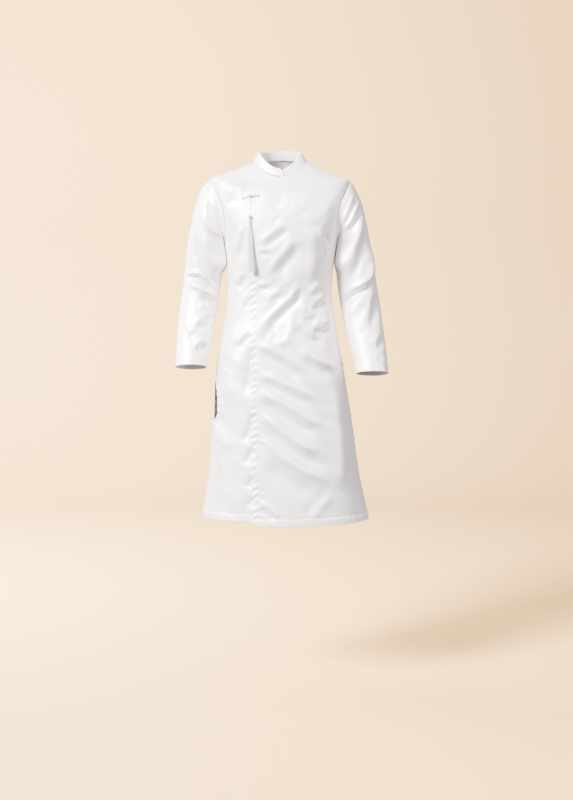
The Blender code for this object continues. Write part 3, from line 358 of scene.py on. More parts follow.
def stroke_height(points, weight, strokes):
    """Sum of soft strokes, seen in x and z. The weight is 1 where a stroke is in view."""
    total = np.zeros(points.shape[:-1])
    flat = points[..., [0, 2]] * 1000.0
    for line, half_width, height in strokes:
        line = np.asarray(line, float)
        best, along = np.full(total.shape, 1e9), np.zeros(total.shape)
        starts = travel(line)
        for a, b, start, end in zip(line[:-1], line[1:], starts[:-1], starts[1:]):
            t = np.clip(((flat - a) @ (b - a)) / (end - start) ** 2, 0.0, 1.0)
            far = np.linalg.norm(flat - (a + t[..., None] * (b - a)), axis=-1)
            along = np.where(far < best, start + t * (end - start), along)
            best = np.minimum(far, best)
        ends = smooth(np.minimum(along, starts[-1] - along) / (END_SHARE * starts[-1]) + END_LEFT)
        total += height * 0.001 * bell(best, FOLD_WIDEN * half_width) * ends
    return total * weight


def body_folds(points, normals):
    """Crease height of the body: none at the neck and little at the armholes."""
    height = FOLD_GAIN * stroke_height(points, facing(normals, -1, BODY_EDGE), FRONT_FOLDS)
    height += FOLD_GAIN * stroke_height(points, facing(normals, 1, BODY_EDGE), BACK_FOLDS)
    away = np.linalg.norm((points[..., [0, 2]] - FROG_MIDDLE) / FROG_HALF, axis=-1)
    calm = np.where(points[..., 1] < 0.0, smooth(away / FROG_FADE), 1.0)
    height += HANDLED * calm * smooth(np.abs(normals[..., 1]) / FACING_OVER) * handled(points)
    weight = smooth((-NECK_CALM - points[..., 2]) / NECK_CALM)
    for side in (-1.0, 1.0):
        away = (points - ARMHOLE_MIDDLE * (side, 1.0, 1.0)) / ARMHOLE_HALF
        away[..., 0] *= np.where(points[..., 0] * side > ARMHOLE_INNER, 0.0, 1.0)
        weight = weight * smooth((np.linalg.norm(away, axis=-1) - 1.0) / ARMHOLE_FADE)
    return height * weight


CHEST = np.array([[0.0, -0.12, -0.30]])
print("crease height at the breast bone, mm:",
      round(1000 * float(body_folds(CHEST, np.array([[0.0, -1.0, 0.0]]))[0]), 2))

# %% [markdown]
# ## From table to cloth
# A sewn edge is a folded edge: the hem is turned up 22 mm, the placket is turned under to its stitch
# line and the vents have narrow turnings. Each panel is one grid whose first and last rows and columns
# roll round a small radius and run back under the cloth. A Solidify modifier gives the sheet its
# thickness. That keeps the mesh simple to edit, and its rim closes the raw edges.

# %% Sheet helpers
CLOTH = 0.0007            # thickness of the satin


def add_mesh(name, points, faces, uv):
    """One mesh piece that rides on the body. The UV map, in metres, follows the weave."""
    faces = np.asarray(faces)
    used, new = np.unique(faces, return_inverse=True)
    faces = new.reshape(faces.shape)
    mesh = bpy.data.meshes.new(name)
    mesh.from_pydata(np.asarray(points)[used].tolist(), [], faces.tolist())
    mesh.polygons.foreach_set("use_smooth", np.ones(len(faces), bool))
    layer = mesh.uv_layers.new(name="weave")
    layer.data.foreach_set("uv", np.asarray(uv)[used][faces.ravel()].ravel().astype(np.float32))
    thing = bpy.data.objects.new(name, mesh)
    bpy.context.scene.collection.objects.link(thing)
    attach(thing, "root")
    return thing


def grid_faces(rows, columns, skip=None, closed=False):
    wide = columns if closed else columns - 1
    i, j = np.meshgrid(np.arange(rows - 1), np.arange(wide), indexing="ij")
    k = (j + 1) % columns
    faces = np.stack([i * columns + j, i * columns + k, (i + 1) * columns + k,
                      (i + 1) * columns + j], axis=-1).reshape(-1, 4)
    if skip is not None:
        faces = faces[~skip.reshape(-1)[faces].any(axis=1)]
    return faces


def grid_travel(grid, axis):
    """Mean length from the first row (axis 0) or column (axis 1) of a grid to each of the others."""
    steps = np.linalg.norm(np.diff(grid, axis=axis), axis=-1).mean(axis=1 - axis)
    return np.concatenate([[0.0], np.cumsum(steps)])


def grid_uv(by_row, by_column):
    """UVs of a grid's points: u from the row, v from the column."""
    return np.stack(np.meshgrid(by_row, by_column, indexing="ij"), axis=-1).reshape(-1, 2)


def add_cloth(name, grid, skip=None, closed=False):
    """A sheet through a grid of points, with its flat area measured on the grid."""
    rows, columns = grid.shape[:2]
    faces = grid_faces(rows, columns, skip, closed)
    uv = grid_uv(grid_travel(grid, 0), grid_travel(grid, 1))[:, ::-1]
    thing = add_mesh(name, grid.reshape(-1, 3), faces, uv)
    solid = thing.modifiers.new("thickness", "SOLIDIFY")
    solid.thickness = CLOTH
    solid.offset = 0.0
    flat = grid.reshape(-1, 3)[faces]
    area = np.linalg.norm(np.cross(flat[:, 2] - flat[:, 0], flat[:, 3] - flat[:, 1]), axis=1).sum() / 2
    print(f"{name}: {rows} x {columns} points, {len(faces) * 4} triangles, cloth {area:.3f} m2")
    return thing, float(area)


print("satin", CLOTH * 1000, "mm thick")

# %% Points round a folded edge
FOLD = 0.0006             # radius of a folded edge
TURNING, FOLDED, OUTSIDE = 0, 1, 2    # kinds of rows and columns
FOLD_ANGLES = np.radians((-70, -35, 0, 35, 70))
FOLD_IN = FOLD * (1 - np.cos(FOLD_ANGLES))    # distance of each point from the very edge
FOLD_DOWN = FOLD * (1 - np.sin(FOLD_ANGLES))  # and its depth under the cloth
UNDER = 2 * FOLD          # depth of a turning
UNDER_POINTS, UNDER_NEAR = 6, 0.002       # points across a turning, and where the nearest to the edge lies
VENT_TURN = 0.013         # width of the turning at a vent


def turned_edge(width):
    """Distance from the edge, depth and kind of the points of a turned edge, from under the cloth out."""
    away = np.concatenate([np.linspace(width, UNDER_NEAR, UNDER_POINTS), FOLD_IN])
    depth = np.concatenate([np.full(UNDER_POINTS, UNDER), FOLD_DOWN])
    return away, depth, [TURNING] * UNDER_POINTS + [FOLDED] * len(FOLD_ANGLES)


print(len(turned_edge(VENT_TURN)[0]), "points across a turned edge")

# %% Rows of a panel
HEM_DEPTH = 0.022
HEM_STEP, ROW_STEP = 0.004, 0.003     # height of a row in the hem's turning and below the armholes
ARMPIT_HEIGHT = -0.246
ARM_STEPS, SHOULDER_STEPS = 60, 30    # rows beside an armhole and along the shoulder
SHOULDER_FROM = 11.25     # ring number of the first row above the armhole
EVEN_FROM, EVEN_SPAN = 8.93, 2.25     # ring numbers of the same rows away from the armholes
ALL_RINGS = np.linspace(0.0, NECK_RING, 2601)
RING_HEIGHTS = hermite(RINGS, ALL_RINGS)[:, 1]


def ring_at_height(z):
    return float(np.interp(z, RING_HEIGHTS, ALL_RINGS))


def panel_rows(hem):
    """Ring number, depth under the cloth and kind of each row."""
    rows = [(ring_at_height(z), UNDER, TURNING)
            for z in np.arange(hem + HEM_DEPTH, hem + UNDER_NEAR, -HEM_STEP)]
    rows += [(ring_at_height(hem + up), down, FOLDED) for up, down in zip(FOLD_IN, FOLD_DOWN)]
    rows += [(ring_at_height(z), 0.0, OUTSIDE) for z in np.arange(hem + UNDER_NEAR, ARMPIT_HEIGHT, ROW_STEP)]
    beside = ARMHOLE_RING - np.cos(np.arange(ARM_STEPS + 1) * math.pi / ARM_STEPS)
    shoulder = np.linspace(SHOULDER_FROM, NECK_RING, SHOULDER_STEPS)
    return rows + [(float(ring), 0.0, OUTSIDE) for ring in (*beside, *shoulder)]


def even_ring(ring):
    """Ring number of a row away from the armholes, where the rows are evenly spread."""
    if not ARMPIT_RING <= ring <= TIP_RING:
        return ring
    return EVEN_FROM + EVEN_SPAN * math.acos(ARMHOLE_RING - ring) / math.pi


HEM_HEIGHT = RINGS[0, 0]
print(len(panel_rows(HEM_HEIGHT)), "rows in a panel")

# %% Edges of a panel
FRONT, BACK = 1, -1
ARMHOLE_TURN = 29.5       # degrees that an armhole cuts in from the side
VENT_TOP = -0.575
VENT_OPEN = 0.009         # half the width of a vent at the hem, in front
BACK_OPENS = 1.3          # and this much more behind
SWING = 0.060             # the right front's vent edge is drawn forward this far, at its most
SWING_AT = (-0.580, -0.690, -0.745, -0.785)   # heights where that starts, is full, lasts to and ends
# ring numbers and x of the left front's edge, from the hem to the neck
EDGE_AT = np.array([0.0, 1.0, 4.0, 7.0, 10.7, 11.0, 11.5, 12.0, 12.33, 12.67, 13.0])
EDGE_X = np.array([-0.083, -0.087, -0.092, -0.092, -0.090, -0.088, -0.078, -0.060,
                   -0.040, -0.018, 0.004])


def edge_x(ring):
    return float(np.interp(ring, EDGE_AT, EDGE_X))


def side_length(row, ring, side, face):
    """Where a panel's side or armhole edge lies along a row."""
    turn = math.pi / 2
    if ARMPIT_RING < ring < TIP_RING:
        turn -= face * math.radians(ARMHOLE_TURN) * math.sqrt(1.0 - (ring - ARMHOLE_RING) ** 2)
    turn *= side
    if face == BACK and side < 0:
        turn += 2 * math.pi
    z = row.front_height
    opening = VENT_OPEN * smooth((VENT_TOP - z) / (VENT_TOP - HEM_HEIGHT))
    if face == BACK:
        opening *= BACK_OPENS
    elif side < 0:
        start, full, last, end = SWING_AT
        opening += SWING * smooth((start - z) / (start - full)) * smooth((z - end) / (last - end))
    return row.length_at(turn) - side * face * opening


print("side of the front at the waist:",
      round(side_length(BodyRow(WAIST_RING), WAIST_RING, 1, FRONT), 3), "m from the middle")

# %% [markdown]
# ## Stitches and puckers
# A line of machine stitches draws satin in, and the cloth beside it puckers. Real puckers are never
# even, so each one gets its own place and strength from two slow waves that don't share a length.
# The placket has them between its fold and its stitch line, with short drag lines past the stitches.

# %% Uneven troughs
# share or size, how fast it changes along the edge, start
PLACE_WAVES = ((0.13, 19.0, 0.7), (0.09, 47.0, 0.0))
SIZE_WAVES = ((0.42, 31.0, 1.1), (0.38, 83.0, 0.4))
USUAL_SIZE, LEAST_SIZE = 0.95, 0.25


def waves(along, table):
    return sum(size * np.sin(rate * along + start) for size, rate, start in table)


def troughs(along, length, half_width):
    """Narrow troughs at uneven places, one for each length: how deep in, and how strong each one is."""
    number = along / length + waves(along, PLACE_WAVES)
    away = (number - np.round(number)) * length
    return bell(away, half_width), np.maximum(USUAL_SIZE + waves(along, SIZE_WAVES), LEAST_SIZE)


print("strength of the first puckers:", troughs(np.arange(4) * 0.02, 0.02, 0.004)[1].round(2))

# %% Placket
PLACKET_WIDTH = 0.0195    # from the fold to the stitch line
PUCKER = 0.0215           # length of one pucker
PUCKER_HALF, PUCKER_DEEP, PUCKER_SLANT = 0.0046, 0.0020, 0.55
DRAG_HALF, DRAG_DEEP, DRAG_SLANT, DRAG_REACH = 0.0062, 0.0013, 0.50, 0.019
PUFF = 0.0009             # the band stands up this much between its troughs
FADE = 0.004              # troughs fade out over this length at the fold and at the stitches
STITCH_HALF, STITCH_DEEP = 0.0022, 0.0003
CALM_ABOVE, CALM_OVER, CALM_LEFT = -0.28, 0.16, 0.15      # puckers are weak above the first height
HEM_END, HEM_FADE = -1.064, 0.012


def placket_height(s, z):
    """Slanting troughs between fold and stitch line, a faint dip along it and drag lines past it."""
    level = CALM_LEFT + (1.0 - CALM_LEFT) * smooth((CALM_ABOVE - z) / CALM_OVER)
    level = level * smooth((z - HEM_END) / HEM_FADE)
    past = np.maximum(s - PLACKET_WIDTH, 0.0)
    along = z - PUCKER_SLANT * np.minimum(s, PLACKET_WIDTH) + DRAG_SLANT * past
    trough, size = troughs(along, PUCKER, PUCKER_HALF)
    drag, _ = troughs(along, PUCKER, DRAG_HALF)
    band = smooth(s / FADE) * (1.0 - smooth((s - PLACKET_WIDTH + 0.75 * FADE) / FADE))
    pulled = smooth((past - 0.25 * FADE) / FADE) * np.exp(-past / DRAG_REACH)
    puffed = PUFF * np.sin(math.pi * np.clip(s / PLACKET_WIDTH, 0.0, 1.0))
    height = level * size * (puffed - PUCKER_DEEP * trough * band - DRAG_DEEP * drag * pulled)
    return height - STITCH_DEEP * bell(s - PLACKET_WIDTH, STITCH_HALF) * (0.5 + level)


CENTRE_LINE = placket_height(np.array(PLACKET_WIDTH / 2), np.linspace(-1.0, -0.5, 999))
print("puckers of the placket, mm:", round(1000 * float(np.ptp(CENTRE_LINE)), 2), "from crest to trough")

# %% Side edges and hem
SIDE_PUCKER, SIDE_PUCKER_HALF, SIDE_SLANT = 0.0225, 0.0045, 0.3
SIDE_PUFF, SIDE_DEEP = 0.0012, 0.0026
SIDE_MIDDLE, SIDE_HALF = 0.006, 0.009     # the band of puckers lies here from the edge
SIDE_STITCH_DEEP = 0.0006
SIDE_HEM_END, SIDE_HEM_FADE = -1.062, 0.015
SEAM_TOP, SEAM_OVER = 0.01, 0.04      # the edge opens this far above the vent's top, over this length
ROLL_DEEP, ROLL_HALF = 0.0012, 0.0025     # a side seam is drawn in this much, this close to it
PULL_DEEP, PULL_HALF = 0.0005, 0.014
HEM_STITCH_DEEP, HEM_STITCH_HALF = 0.0009, 0.003
HEM_STANDS, HEM_RIPPLE, HEM_RIPPLE_LENGTH = 0.0005, 0.0005, 0.019
RIPPLE_DRIFT, RIPPLE_RATE = 2.0, 23.0     # makes the ripples of the hem uneven
HEM_TOP, HEM_OVER = 0.026, 0.01


def edge_height(d, z):
    """A side edge: puckered along the vent, and only rolled in along the side seam above it."""
    is_open = smooth((VENT_TOP + SEAM_TOP - z) / SEAM_OVER)
    trough, size = troughs(z + SIDE_SLANT * d, SIDE_PUCKER, SIDE_PUCKER_HALF)
    band = bell(d - SIDE_MIDDLE, SIDE_HALF) * smooth((z - SIDE_HEM_END) / SIDE_HEM_FADE)
    vent = size * (SIDE_PUFF - SIDE_DEEP * trough) * band
    vent = vent - SIDE_STITCH_DEEP * bell(d - VENT_TURN, STITCH_HALF)
    seam = ROLL_DEEP * bell(d, ROLL_HALF) + PULL_DEEP * trough * bell(d, PULL_HALF)
    return is_open * vent - (1.0 - is_open) * seam


def hem_height(z, hem, x):
    """The line of stitches above the hem, and a faint ripple in the doubled cloth below it."""
    line = bell(z - hem - HEM_DEPTH, HEM_STITCH_HALF)
    drift = RIPPLE_DRIFT * np.sin(RIPPLE_RATE * x)
    ripple = 0.5 + 0.5 * np.sin(2 * math.pi * x / HEM_RIPPLE_LENGTH + drift)
    low = smooth((hem + HEM_TOP - z) / HEM_OVER)
    return (HEM_STANDS + HEM_RIPPLE * ripple) * low - HEM_STITCH_DEEP * line


print("hem stitched", HEM_DEPTH * 1000, "mm up, vents", VENT_TURN * 1000, "mm in")

# %% [markdown]
# ## The panels
# Each front and the back is laid out row by row: where the row starts and ends on the body, where its
# points lie, and how high the creases and stitches lift them. Rows bunch up beside the armholes and are
# evenly spread elsewhere, so a panel can be cut round an armhole and still be one plain grid.

# %% Points across a panel
OPEN_EDGE = (0.0016, 0.003)       # first points beside a turned edge
CUT_EDGE = (0.0, 0.001, 0.0025)       # and beside a cut one
FINE_FROM, FINE_STEP = 0.0045, 0.0016     # close columns carry the puckers of the placket


def lay_out(width, count, start_turn, end_turn):
    """Distance from the start of a row, depth and kind of each point across a panel."""
    near = list(OPEN_EDGE if start_turn else CUT_EDGE)
    if start_turn > VENT_TURN:
        near += list(np.arange(FINE_FROM, PLACKET_WIDTH + FADE, FINE_STEP))
    far = (OPEN_EDGE if end_turn else CUT_EDGE)[::-1]
    middle = np.linspace(near[-1], width - far[0], count + 2)[1:-1]
    s = np.concatenate([near, middle, width - np.array(far)])
    depth, kind = np.zeros(len(s)), [OUTSIDE] * len(s)
    if start_turn:
        away, down, kinds = turned_edge(start_turn)
        s, depth, kind = np.concatenate([away, s]), np.concatenate([down, depth]), kinds + kind
    if end_turn:
        away, down, kinds = turned_edge(end_turn)
        s = np.concatenate([s, width - away[::-1]])
        depth, kind = np.concatenate([depth, down[::-1]]), kind + kinds[::-1]
    return s, depth, np.array(kind)


print(len(lay_out(0.4, 0, PLACKET_WIDTH, VENT_TURN)[0]), "points across the two edges of the left front")

# %% Build a panel
SIDE_GAP = 0.0006         # at a vent, a front and the back stay this far from the plane of the side seam
GAP_TOP = 0.02            # from this far above the vent's top
DOUBLE_OVER, DOUBLE_FADE = 0.004, 0.003   # where two turnings cross, the inner one lies deeper
SEAM_KEEP = 0.004         # the vent's turnings end this far above its top


def keep_apart(grid, face):
    """Below the side seams, a front stays in front of the seam's plane and the back behind it."""
    clear = -face * np.maximum(-face * grid[..., 1], SIDE_GAP)
    grid[..., 1] = np.where(grid[..., 2] < VENT_TOP + GAP_TOP, clear, grid[..., 1])


def left_out(grid, rows, kinds, start_turn, end_turn):
    """Points of the grid that no face uses: corners of two turnings, and turnings above the vents."""
    turned = kinds < OUTSIDE
    skip = turned & (np.array([kind for _, _, kind in rows])[:, None] < OUTSIDE)
    above = turned & (grid[..., 2] > VENT_TOP + SEAM_KEEP)
    half = kinds.shape[1] // 2
    if start_turn == VENT_TURN:
        skip[:, :half] |= above[:, :half]
    if end_turn == VENT_TURN:
        skip[:, half:] |= above[:, half:]
    return skip


def build_panel(name, face, hem, span, warp, count, start_turn, end_turn, extra):
    """The span gives the start and the end of a row, the warp moves ring numbers to the armholes.
    A start or end turn is the width of cloth that folds under there, or 0. The extra is more height."""
    rows = panel_rows(hem)
    grid, kinds = [], []
    for ring, row_depth, _ in rows:
        row = BodyRow(even_ring(ring))
        a, b = span(ring, row)
        s, depth, kind = lay_out(b - a, count, start_turn, end_turn)
        rest = b - a - s
        turns, rings = row.turns_at(a + s), warp(ring, row, a + s)
        points, normals = body_point(turns, rings), body_normal(turns, rings)
        height = body_folds(points, normals) + extra(s, rest, points, ring, row, hem)
        doubled = np.zeros(s.shape)
        for turn, away in ((start_turn, s), (end_turn, rest)):
            if turn:
                doubled = np.maximum(doubled, smooth((turn + DOUBLE_OVER - away) / DOUBLE_FADE))
        below = CLOTH / 2 + depth + row_depth * (1.0 + doubled)
        grid.append(points + normals * (height - below)[:, None])
        kinds.append(kind)
    grid = np.array(grid)
    keep_apart(grid, face)
    return add_cloth(name, grid, left_out(grid, rows, np.array(kinds), start_turn, end_turn))


print("the middles of the front and back sheets stay", 2 * SIDE_GAP * 1000, "mm apart at the vents")

# %% The left front
LEFT_HEM, LEFT_COLUMNS = -1.067, 74
TURN_SHORT = 0.001        # the placket's turning ends this far before its stitch line


def bunched(ring, lengths, flat, armhole):
    """Ring numbers along a row, evenly spread up to one length and bunched up at the other."""
    even = even_ring(ring)
    share = np.clip((lengths - flat) / (armhole - flat), 0.0, 1.0)
    return even + (ring - even) * share ** 2


def placket_start(ring, row):
    return row.at_x(edge_x(even_ring(ring)))


def left_span(ring, row):
    return placket_start(ring, row), side_length(row, ring, 1, FRONT)


def left_warp(ring, row, lengths):
    start, end = left_span(ring, row)
    return bunched(ring, lengths, start + PLACKET_WIDTH, end)


def left_extra(s, rest, points, ring, row, hem):
    z = points[:, 2]
    return placket_height(s, z) + edge_height(rest, z) + hem_height(z, hem, points[:, 0])


front_left, left_area = build_panel("front_left_cloth", FRONT, LEFT_HEM, left_span,
                                    left_warp, LEFT_COLUMNS, PLACKET_WIDTH - TURN_SHORT, VENT_TURN,
                                    left_extra)
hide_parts("front_left", "front_placket")

# %% The right front, which runs under the left one
RIGHT_HEM, RIGHT_COLUMNS = -1.0577, 68
UNDERLAP = 0.045          # how far it goes on past the stitch line of the placket
UNDER_STEP = 0.0040       # it lies this deep under the left front
LOW_STEP, LOW_FROM, LOW_OVER = 0.003, -0.98, 0.05     # and this much deeper still near the hem
STEP_FROM, STEP_OVER = 0.075, 0.062       # the step starts this far before the left front's edge
RIPPLE_SHIFT = 0.3        # so that its hem doesn't ripple like the left one's


def right_span(ring, row):
    return side_length(row, ring, -1, FRONT), placket_start(ring, row) + PLACKET_WIDTH + UNDERLAP


def right_warp(ring, row, lengths):
    outer = bunched(ring, lengths, placket_start(ring, row), side_length(row, ring, -1, FRONT))
    return outer + left_warp(ring, row, lengths) - even_ring(ring)


def right_extra(s, rest, points, ring, row, hem):
    z = points[:, 2]
    under = smooth((points[:, 0] - edge_x(even_ring(ring)) + STEP_FROM) / STEP_OVER)
    low = smooth((LOW_FROM - z) / LOW_OVER)
    height = edge_height(s, z) + hem_height(z, hem, points[:, 0] + RIPPLE_SHIFT)
    return height - (UNDER_STEP + LOW_STEP * low) * under


front_right, right_area = build_panel("front_right_cloth", FRONT, RIGHT_HEM,
                                      right_span, right_warp, RIGHT_COLUMNS, VENT_TURN, 0, right_extra)
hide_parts("front_right")

# %% The back
BACK_HEM, BACK_COLUMNS = -1.062, 104
SIDE_SHIFT, BACK_SHIFT = 0.4, 0.1     # so that its edges don't pucker like those in front


def back_span(ring, row):
    return side_length(row, ring, 1, BACK), side_length(row, ring, -1, BACK)


def back_warp(ring, row, lengths):
    a, b = back_span(ring, row)
    return bunched(ring, np.abs(lengths - (a + b) / 2), 0.0, (b - a) / 2)


def back_extra(s, rest, points, ring, row, hem):
    z = points[:, 2]
    edges = edge_height(s, z) + edge_height(rest, z + SIDE_SHIFT)
    return edges + hem_height(z, hem, points[:, 0] + BACK_SHIFT)


back, back_area = build_panel("back_cloth", BACK, BACK_HEM, back_span, back_warp,
                              BACK_COLUMNS, VENT_TURN, VENT_TURN, back_extra)
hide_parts("back")

# %% [markdown]
# ## Sleeves
# A sleeve is one tube from the armhole to the cuff. Its first rings bend over the shoulder, and the
# rest follow the arm, which hangs a little bent. The cuff turns back inside. The elbow of a hanging
# sleeve always has a deep V where the cloth doubles, so the largest strokes are placed there.

# %% Sleeve tables
# round the shoulder: degrees from straight up, outer radius from the armpit, half depth, bend
CAP_RIGHT = ((13.5, 0.1885, 0.0690, 0.012), (20.0, 0.1755, 0.0680, 0.009),
             (28.0, 0.1560, 0.0660, 0.005), (43.0, 0.1275, 0.0630, 0.002),
             (65.0, 0.1080, 0.0600, 0.0))
CAP_LEFT = ((13.5, 0.1795, 0.0690, 0.012), (20.0, 0.1605, 0.0680, 0.009),
            (28.0, 0.1415, 0.0660, 0.005), (43.0, 0.1150, 0.0630, 0.002),
            (65.0, 0.0965, 0.0600, 0.0))
# down the arm: z, inner x, outer x, middle y, half depth, tilt in degrees
ARM_RIGHT = ((-0.253, 0.1685, 0.2820, 0.008, 0.0575, 0.0),
             (-0.293, 0.1650, 0.2870, 0.010, 0.0570, 0.0),
             (-0.335, 0.1750, 0.2900, 0.013, 0.0565, 3.0),
             (-0.377, 0.1830, 0.2955, 0.014, 0.0560, 7.0),
             (-0.423, 0.1893, 0.3020, 0.006, 0.0545, 11.0),
             (-0.477, 0.1990, 0.3070, -0.012, 0.0510, 13.0),
             (-0.528, 0.2065, 0.3105, -0.033, 0.0475, 14.0),
             (-0.570, 0.2140, 0.3118, -0.050, 0.0450, 14.0),
             (-0.604, 0.2190, 0.3128, -0.064, 0.0430, 14.0))
ARM_LEFT = ((-0.253, 0.1685, 0.2695, 0.008, 0.0575, 0.0),
            (-0.293, 0.1645, 0.2765, 0.010, 0.0570, 0.0),
            (-0.335, 0.1665, 0.2835, 0.013, 0.0565, 3.0),
            (-0.377, 0.1720, 0.2904, 0.014, 0.0560, 7.0),
            (-0.423, 0.1785, 0.2972, 0.008, 0.0545, 11.0),
            (-0.477, 0.1895, 0.3030, -0.008, 0.0515, 13.0),
            (-0.531, 0.2035, 0.3095, -0.030, 0.0480, 14.0),
            (-0.582, 0.2145, 0.3145, -0.050, 0.0455, 14.0),
            (-0.623, 0.2215, 0.3175, -0.066, 0.0435, 14.0))
print(len(CAP_RIGHT) + len(ARM_RIGHT) + 1, "rings in a sleeve")

# %% Creases of the sleeves
SLEEVE_RIGHT_FOLDS = (
    # upper arm
    (((-221, -111), (-206, -155), (-168, -210)), 5.4, -9.1),
    (((-206, -101), (-187, -146), (-165, -190)), 6.3, 4.2),
    (((-234, -146), (-212, -190), (-183, -224)), 8.1, 4.9), (((-195, -136), (-168, -185)), 4.5, -5.6),
    (((-255, -219), (-245, -274), (-218, -328), (-186, -373)), 7.2, -7),
    (((-220, -205), (-215, -274), (-188, -338)), 9.9, 6.3),
    # elbow and forearm
    (((-280, -339), (-243, -343), (-193, -388)), 7.2, -11.2),
    (((-278, -326), (-243, -328), (-213, -353)), 6.3, 5.6),
    (((-278, -354), (-238, -374), (-188, -402)), 6.3, 7),
    (((-241, -399), (-211, -401), (-186, -424)), 7.2, -11.2),
    (((-243, -418), (-204, -434)), 8.1, 4.2), (((-249, -495), (-224, -477), (-194, -452)), 9.9, -7),
    (((-256, -480), (-229, -457), (-196, -432)), 9.9, 4.2), (((-276, -508), (-253, -513)), 7.2, -3.5),
    (((-279, -492), (-251, -498)), 7.2, 2.8), (((-252, -560), (-232, -547), (-219, -532)), 8.1, -5.6),
    (((-254, -541), (-224, -516)), 8.1, 4.2),
)
SLEEVE_LEFT_FOLDS = (
    # upper arm
    (((214, -92), (195, -146), (179, -180)), 6, 5), (((224, -106), (204, -155), (190, -190)), 6, -5),
    (((228, -116), (206, -170), (186, -202)), 6, 5), (((239, -131), (219, -180), (200, -210)), 7, -6),
    (((242, -146), (226, -224), (201, -294), (189, -348)), 9, 5.5),
    (((259, -185), (249, -244), (229, -303), (209, -353)), 11, -6.5),
    # elbow and forearm
    (((270, -234), (277, -294), (263, -338), (236, -364), (201, -379)), 10, 7),
    (((177, -428), (211, -397), (249, -374), (266, -378)), 10, -9),
    (((192, -460), (222, -420), (261, -394)), 13, 3.5), (((269, -383), (256, -432), (244, -477)), 9, 3),
    (((289, -383), (279, -447), (264, -497)), 12, -6), (((292, -497), (270, -537)), 9, 3),
    (((304, -512), (285, -552)), 9, -4), (((297, -570), (286, -585)), 8, -2.5),
    (((227, -505), (254, -497)), 7, -2),
)
print(len(SLEEVE_RIGHT_FOLDS), "creases on the right sleeve,", len(SLEEVE_LEFT_FOLDS), "on the left")

# %% Form of a sleeve
CAP_INNER = 0.005         # inner radius of the first rings, from the armpit
CAP_MIDDLE = 0.004        # y of their middle
UNDERARM = (0.0045, -0.0040)      # out and down from the body's armpit to the sleeve's
ARM_CLEARANCE = 0.0016    # between a sleeve and the body under the arm
PRESS_UP, PRESS_UP_OVER = -0.33, 0.035    # the sleeve lies on the body between these heights
PRESS_DOWN, PRESS_DOWN_OVER = -0.19, 0.03


def sleeve_rings(side, t, cap, arm):
    """Rings from the armhole to the cuff. The angle t starts under the arm and goes forward."""
    turn = side * np.radians(90.0 - ARMHOLE_TURN * np.sin(t))
    rings = [body_point(turn, ARMHOLE_RING - np.cos(t))]
    armpit = body_point(side * math.pi / 2, ARMPIT_RING) + (side * UNDERARM[0], 0.0, UNDERARM[1])
    for degrees, radius, depth, bend in cap:
        angle = math.radians(degrees)
        along = np.array([side * math.sin(angle), 0.0, math.cos(angle)])
        inner, outer = armpit + along * CAP_INNER, armpit + along * radius
        ring = (inner + outer) / 2 - np.cos(t)[:, None] * (outer - inner) / 2
        ring[:, 1] = CAP_MIDDLE - depth * np.sin(t)
        ring[:, 0] -= side * bend * np.sin(t) ** 2
        rings.append(ring)
    for z, inner_x, outer_x, y, depth, tilt in arm:
        angle = math.radians(tilt)
        middle = np.array([side * (inner_x + outer_x) / 2, y, z])
        out = np.array([side * (outer_x - inner_x) / 2, 0.0, 0.0])
        fore = depth * np.array([0.0, -math.cos(angle), math.sin(angle)])
        rings.append(middle - np.cos(t)[:, None] * out + np.sin(t)[:, None] * fore)
    return np.array(rings)


def press(points, side):
    """How far a sleeve has to move to lie on the body under the arm."""
    rings = np.linspace(WAIST_RING, ARMHOLE_RING, 301)
    flank = body_point(np.full(rings.shape, side * math.pi / 2), rings)
    gap = side * (points[..., 0] - np.interp(points[..., 2], flank[:, 2], flank[:, 0])) - ARM_CLEARANCE
    near = smooth((points[..., 2] - PRESS_UP) / PRESS_UP_OVER)
    return np.maximum(gap, 0.0) * near * smooth((PRESS_DOWN - points[..., 2]) / PRESS_DOWN_OVER)


print("armpit at", body_point(math.pi / 2, ARMPIT_RING).round(3), "metres")

# %% Creases and seams of a sleeve
SLEEVE_GAIN = 1.35
BEHIND_DROP = 14          # folds behind lie this many mm lower than those in front of the other arm
# slant for the left arm in degrees, length and width of a patch in mm, share, layer
SLEEVE_UNEVEN = ((68, 110, 36, 1.0, 3), (40, 60, 22, 0.45, 9))
SLEEVE_HANDLED = 0.0009
FREE = ((0.6, 5.0), (0.4, 1.5))       # share of the creases that is full after this many rings
CAP_PUCKER, CAP_PUCKER_HALF, CAP_RADIUS = 0.021, 0.004, 0.075     # puckers where the sleeve is eased in
CAP_DEEP, CAP_REACH, CAP_START = 0.0011, 0.016, 0.004
SEAM_DEEP, SEAM_HALF = 0.0012, 0.0025
CUFF_DEPTH, CUFF_STITCH_DEEP, CUFF_STITCH_HALF = 0.024, 0.0006, 0.0024
CUFF_RIPPLE, CUFF_TOP, CUFF_OVER = 0.0006, 0.03, 0.01
CUFF_RIPPLES = 11         # round the cuff


def mirror(folds):
    """The same folds seen from behind on the other arm, a little lower."""
    return tuple((tuple((-x, z - BEHIND_DROP) for x, z in line), w, h) for line, w, h in folds)


